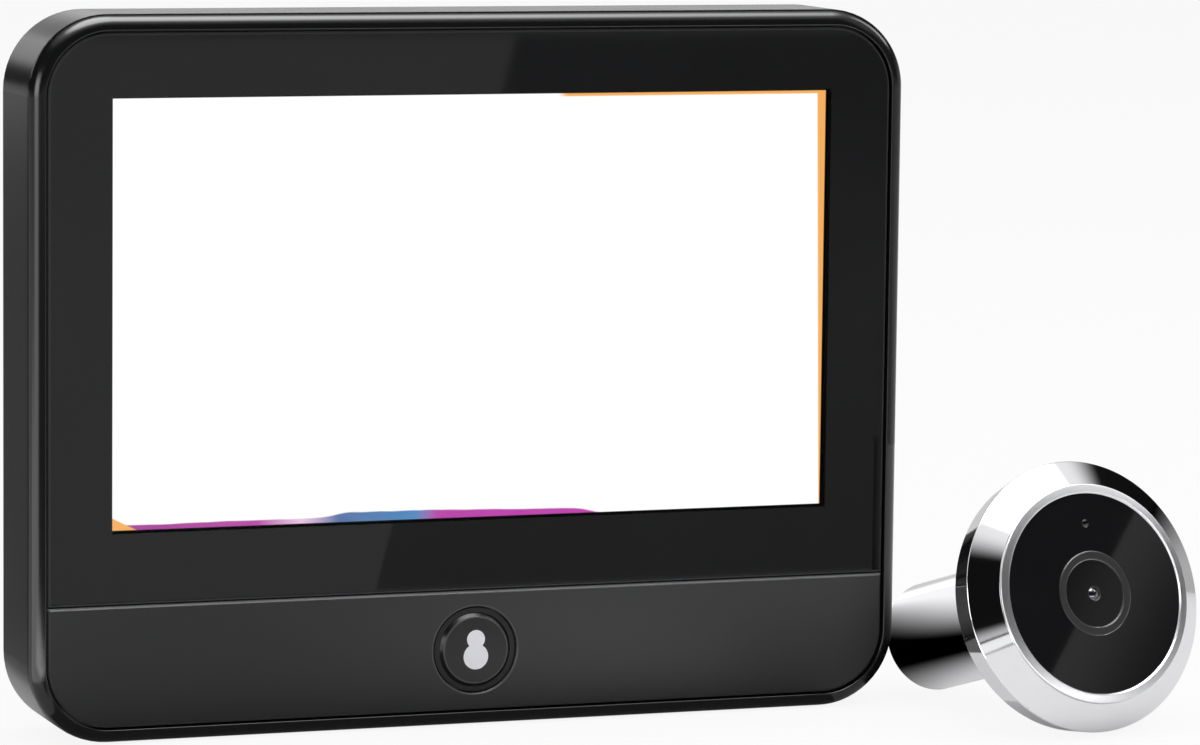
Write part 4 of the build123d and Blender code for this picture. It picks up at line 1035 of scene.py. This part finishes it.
class DOORPHONE_OT_face(Operator):
    """Face of the outdoor camera: black glass, the ring round the lens, the dished lens barrel and the small lens"""

    bl_idname = "doorphone.face"
    bl_label = "Face and lens"

    def execute(self, context):
        s = values_of(context.scene.doorphone_outdoor)
        glass = Finish("face_glass")
        smudge = glass.grain(8.0, 4.0, 0.6)
        shader = glass.shader(
            Base_Color=glass.blend(smudge, tint(s.face_colour, 0.9), tint(s.face_colour, 1.15)),
            Roughness=0.012 + smudge * 0.02,
        )
        dress(glass.close(shader), "face_window")

        dark, light = tint(s.ring_colour, 0.85), tint(s.ring_colour, 1.15)
        dress(mottled("ring_metal", (0.1, 3.0, 0.6), dark, light, 0.3, 0.1, (0.002, 0.4)), "lens_ring")

        dish = Finish("dish_plastic")
        grain = dish.grain(0.15, 3.0, 0.6)
        where = dish.node("ShaderNodeTexCoord").outputs["Object"]
        distance = dish.signal(dish.vectors("DISTANCE", where, tuple(lip_centre)).outputs["Value"]) * (1 / MM)
        funnel = distance.step(1.08, 1.04)
        tone = dish.blend(grain, (0.006, 0.006, 0.0065), (0.012, 0.012, 0.013))
        shader = dish.shader(
            Base_Color=dish.blend(funnel, tone, (0.002, 0.002, 0.002)),
            Roughness=0.07 + grain * 0.05 + funnel * 0.5,
        )
        dish_plastic = dish.close(shader)
        dress(dish_plastic, "lens_holder")
        hole, front, tube = s.lens_hole, s.dish_front, 3.5
        corners = [
            (hole, 0.85), (hole + 0.08, 0.55), (hole + 0.26, front), (s.dish_radius, front), (s.dish_radius, 1.9),
            (tube, 1.9), (tube, 3.0), (hole, 3.0),
        ]
        radii = [0.03, 0.05, 0.05, 0.04, 0.1, 0.1, 0.1, 0.1]
        lens_dish = turned("lens_dish", rounded(corners, radii, 5), dish_plastic, s.segments)
        placed(lens_dish, OUTDOOR, "lens_barrel", "lens_barrel")

        lens = Finish("coated_lens")
        # Painted reflection: the lens's dark coating colour turns lighter and more purple where the surface is seen at
        # a glancing angle, standing in for the coating's reflection
        sheen = lens.node("ShaderNodeLayerWeight", None, {"Blend": 0.35})
        coating_and_painted_reflection = lens.blend(lens.signal(sheen.outputs["Facing"]), (0.010, 0.008, 0.022), (0.03, 0.012, 0.04))
        shader = lens.shader(
            Base_Color=coating_and_painted_reflection,
            Roughness=0.02,
            Specular_IOR_Level=0.8,
            Coat_Weight=1.0,
            Coat_Roughness=0.01,
        )
        dress(lens.close(shader), "front_lens")
        return {"FINISHED"}


# Back, sides and inside

class DOORPHONE_OT_sockets(Operator):
    """Sockets and sliding switch on the right-hand side and the socket in the back"""

    bl_idname = "doorphone.sockets"
    bl_label = "Sockets and switch"

    def execute(self, context):
        shell = sheet_metal("socket_steel", (0.62, 0.62, 0.64), 0.28, (1.0, 12.0, 1.0))
        dress(shell, "usb_socket", "card_socket")
        dress(moulded("socket_plastic", (0.03, 0.03, 0.031), 0.45), "camera_socket", "display_connector")
        dress(moulded("knob_plastic", (0.028, 0.028, 0.03), 0.4), "power_knob")
        dress(sheet_metal("switch_steel", (0.6, 0.6, 0.61), 0.35), "power_switch", "tact_switch")
        dress(moulded("pale_plastic", (0.72, 0.70, 0.64), 0.45), "battery_socket")
        return {"FINISHED"}


class DOORPHONE_OT_screws(Operator):
    """Screws: plated steel with cross recesses"""

    bl_idname = "doorphone.screws"
    bl_label = "Screws"

    def execute(self, context):
        steel = sheet_metal("screw_steel", (0.16, 0.16, 0.17), 0.32, (1.0, 1.0, 1.0))
        dress(steel, "housing_screws", "board_screws", "chassis_screws", "sensor_screws")
        return {"FINISHED"}


class DOORPHONE_OT_inner_parts(Operator):
    """Pieces inside the monitor and the camera's head: boards, display stack, battery, speaker and their leads"""

    bl_idname = "doorphone.inner_parts"
    bl_label = "Inner parts"

    def execute(self, context):
        dress(sheet_metal("tray_steel", (0.60, 0.60, 0.62), 0.3), "backlight_tray", "processor_shield")
        dress(sheet_metal("chassis_metal", (0.34, 0.34, 0.35), 0.42, (1.0, 1.0, 12.0)), "display_chassis")

        flex = Finish("flex_film")
        x, _, z = flex.place()
        tracks = (x * (2 * math.pi / 0.8)).sine().step(-0.2, 0.2)
        shader = flex.shader(
            Base_Color=flex.blend(tracks, (0.20, 0.085, 0.02), (0.36, 0.17, 0.045)),
            Roughness=0.3 + tracks * 0.08,
            Normal=flex.bump(tracks, 0.01, 0.4),
        )
        dress(flex.close(shader), "display_ribbon")

        board = Finish("circuit_board")
        x, _, z = board.place()
        lanes = board.cells(2.6, "F2")
        wiring = ((x + z) * (2 * math.pi / 1.1)).sine().step(0.3, 0.5) * board.grain(7.0, 1.0).step(0.48, 0.52)
        pads = board.cells(3.4).step(0.16, 0.13)
        mask = board.blend(wiring.most(lanes.step(1.0, 1.1)), (0.006, 0.045, 0.025), (0.012, 0.09, 0.045))
        shader = board.shader(
            Base_Color=board.blend(pads, mask, (0.75, 0.55, 0.2)),
            Roughness=0.32 + pads * 0.1,
            Metallic=pads,
            Normal=board.bump(wiring, 0.03, 0.5),
        )
        dress(board.close(shader), "main_board", "sensor_board")

        dress(moulded("chip_epoxy", (0.02, 0.02, 0.021), 0.5, 0.1), "memory_chips", "image_sensor")
        dress(moulded("speaker_body", (0.05, 0.05, 0.052), 0.6, 0.3, 0.03), "speaker")
        dress(sheet_metal("microphone_can", (0.66, 0.66, 0.67), 0.25), "microphone")

        dark, light = (0.50, 0.51, 0.53), (0.68, 0.69, 0.71)
        foil = mottled("battery_foil", (3.0, 5.0, 0.6), dark, light, 0.3, 0.15, (0.15, 0.5), Metallic=0.85)
        dress(foil, "battery")

        wire = Finish("lead_cover")
        _, _, z = wire.place()
        pair = (z * (2 * math.pi / 3.0)).sine().step(-0.1, 0.1)
        gloss = wire.grain(0.8, 2.0)
        shader = wire.shader(
            Base_Color=wire.blend(pair, (0.5, 0.02, 0.015), (0.02, 0.02, 0.02)), Roughness=0.38 + gloss * 0.1
        )
        dress(wire.close(shader), "battery_lead", "speaker_lead")
        return {"FINISHED"}


class DOORPHONE_PT_panel(Panel):
    """Lists the pieces and their settings"""

    bl_idname = "DOORPHONE_PT_panel"
    bl_label = "Video door phone"
    bl_space_type = "VIEW_3D"
    bl_region_type = "UI"
    bl_category = "Door phone"

    def draw(self, context):
        for operator in OPERATORS:
            self.layout.operator(operator.bl_idname)
        for name in SETTINGS:
            group = getattr(context.scene, name)
            box = self.layout.box()
            for key in setting_names(group):
                box.prop(group, key)


OPERATORS = (
    DOORPHONE_OT_studio,
    DOORPHONE_OT_housing,
    DOORPHONE_OT_cover_glass,
    DOORPHONE_OT_screen,
    DOORPHONE_OT_lower_panel,
    DOORPHONE_OT_view_button,
    DOORPHONE_OT_camera_head,
    DOORPHONE_OT_barrel,
    DOORPHONE_OT_face,
    DOORPHONE_OT_sockets,
    DOORPHONE_OT_screws,
    DOORPHONE_OT_inner_parts,
)

SETTINGS = {
    "doorphone_monitor": DOORPHONE_PG_monitor,
    "doorphone_outdoor": DOORPHONE_PG_outdoor,
    "doorphone_studio": DOORPHONE_PG_studio,
}


def register():
    for group in SETTINGS.values():
        bpy.utils.register_class(group)
    for operator in OPERATORS:
        bpy.utils.register_class(operator)
    bpy.utils.register_class(DOORPHONE_PT_panel)
    for name, group in SETTINGS.items():
        setattr(bpy.types.Scene, name, PointerProperty(type=group))


def unregister():
    for name in SETTINGS:
        delattr(bpy.types.Scene, name)
    bpy.utils.unregister_class(DOORPHONE_PT_panel)
    for operator in reversed(OPERATORS):
        bpy.utils.unregister_class(operator)
    for group in reversed(list(SETTINGS.values())):
        bpy.utils.unregister_class(group)


def main():
    """Registers the classes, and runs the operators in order."""
    register()
    for operator in OPERATORS:
        family, name = operator.bl_idname.split(".")
        getattr(getattr(bpy.ops, family), name)()


if __name__ == "__main__":
    main()
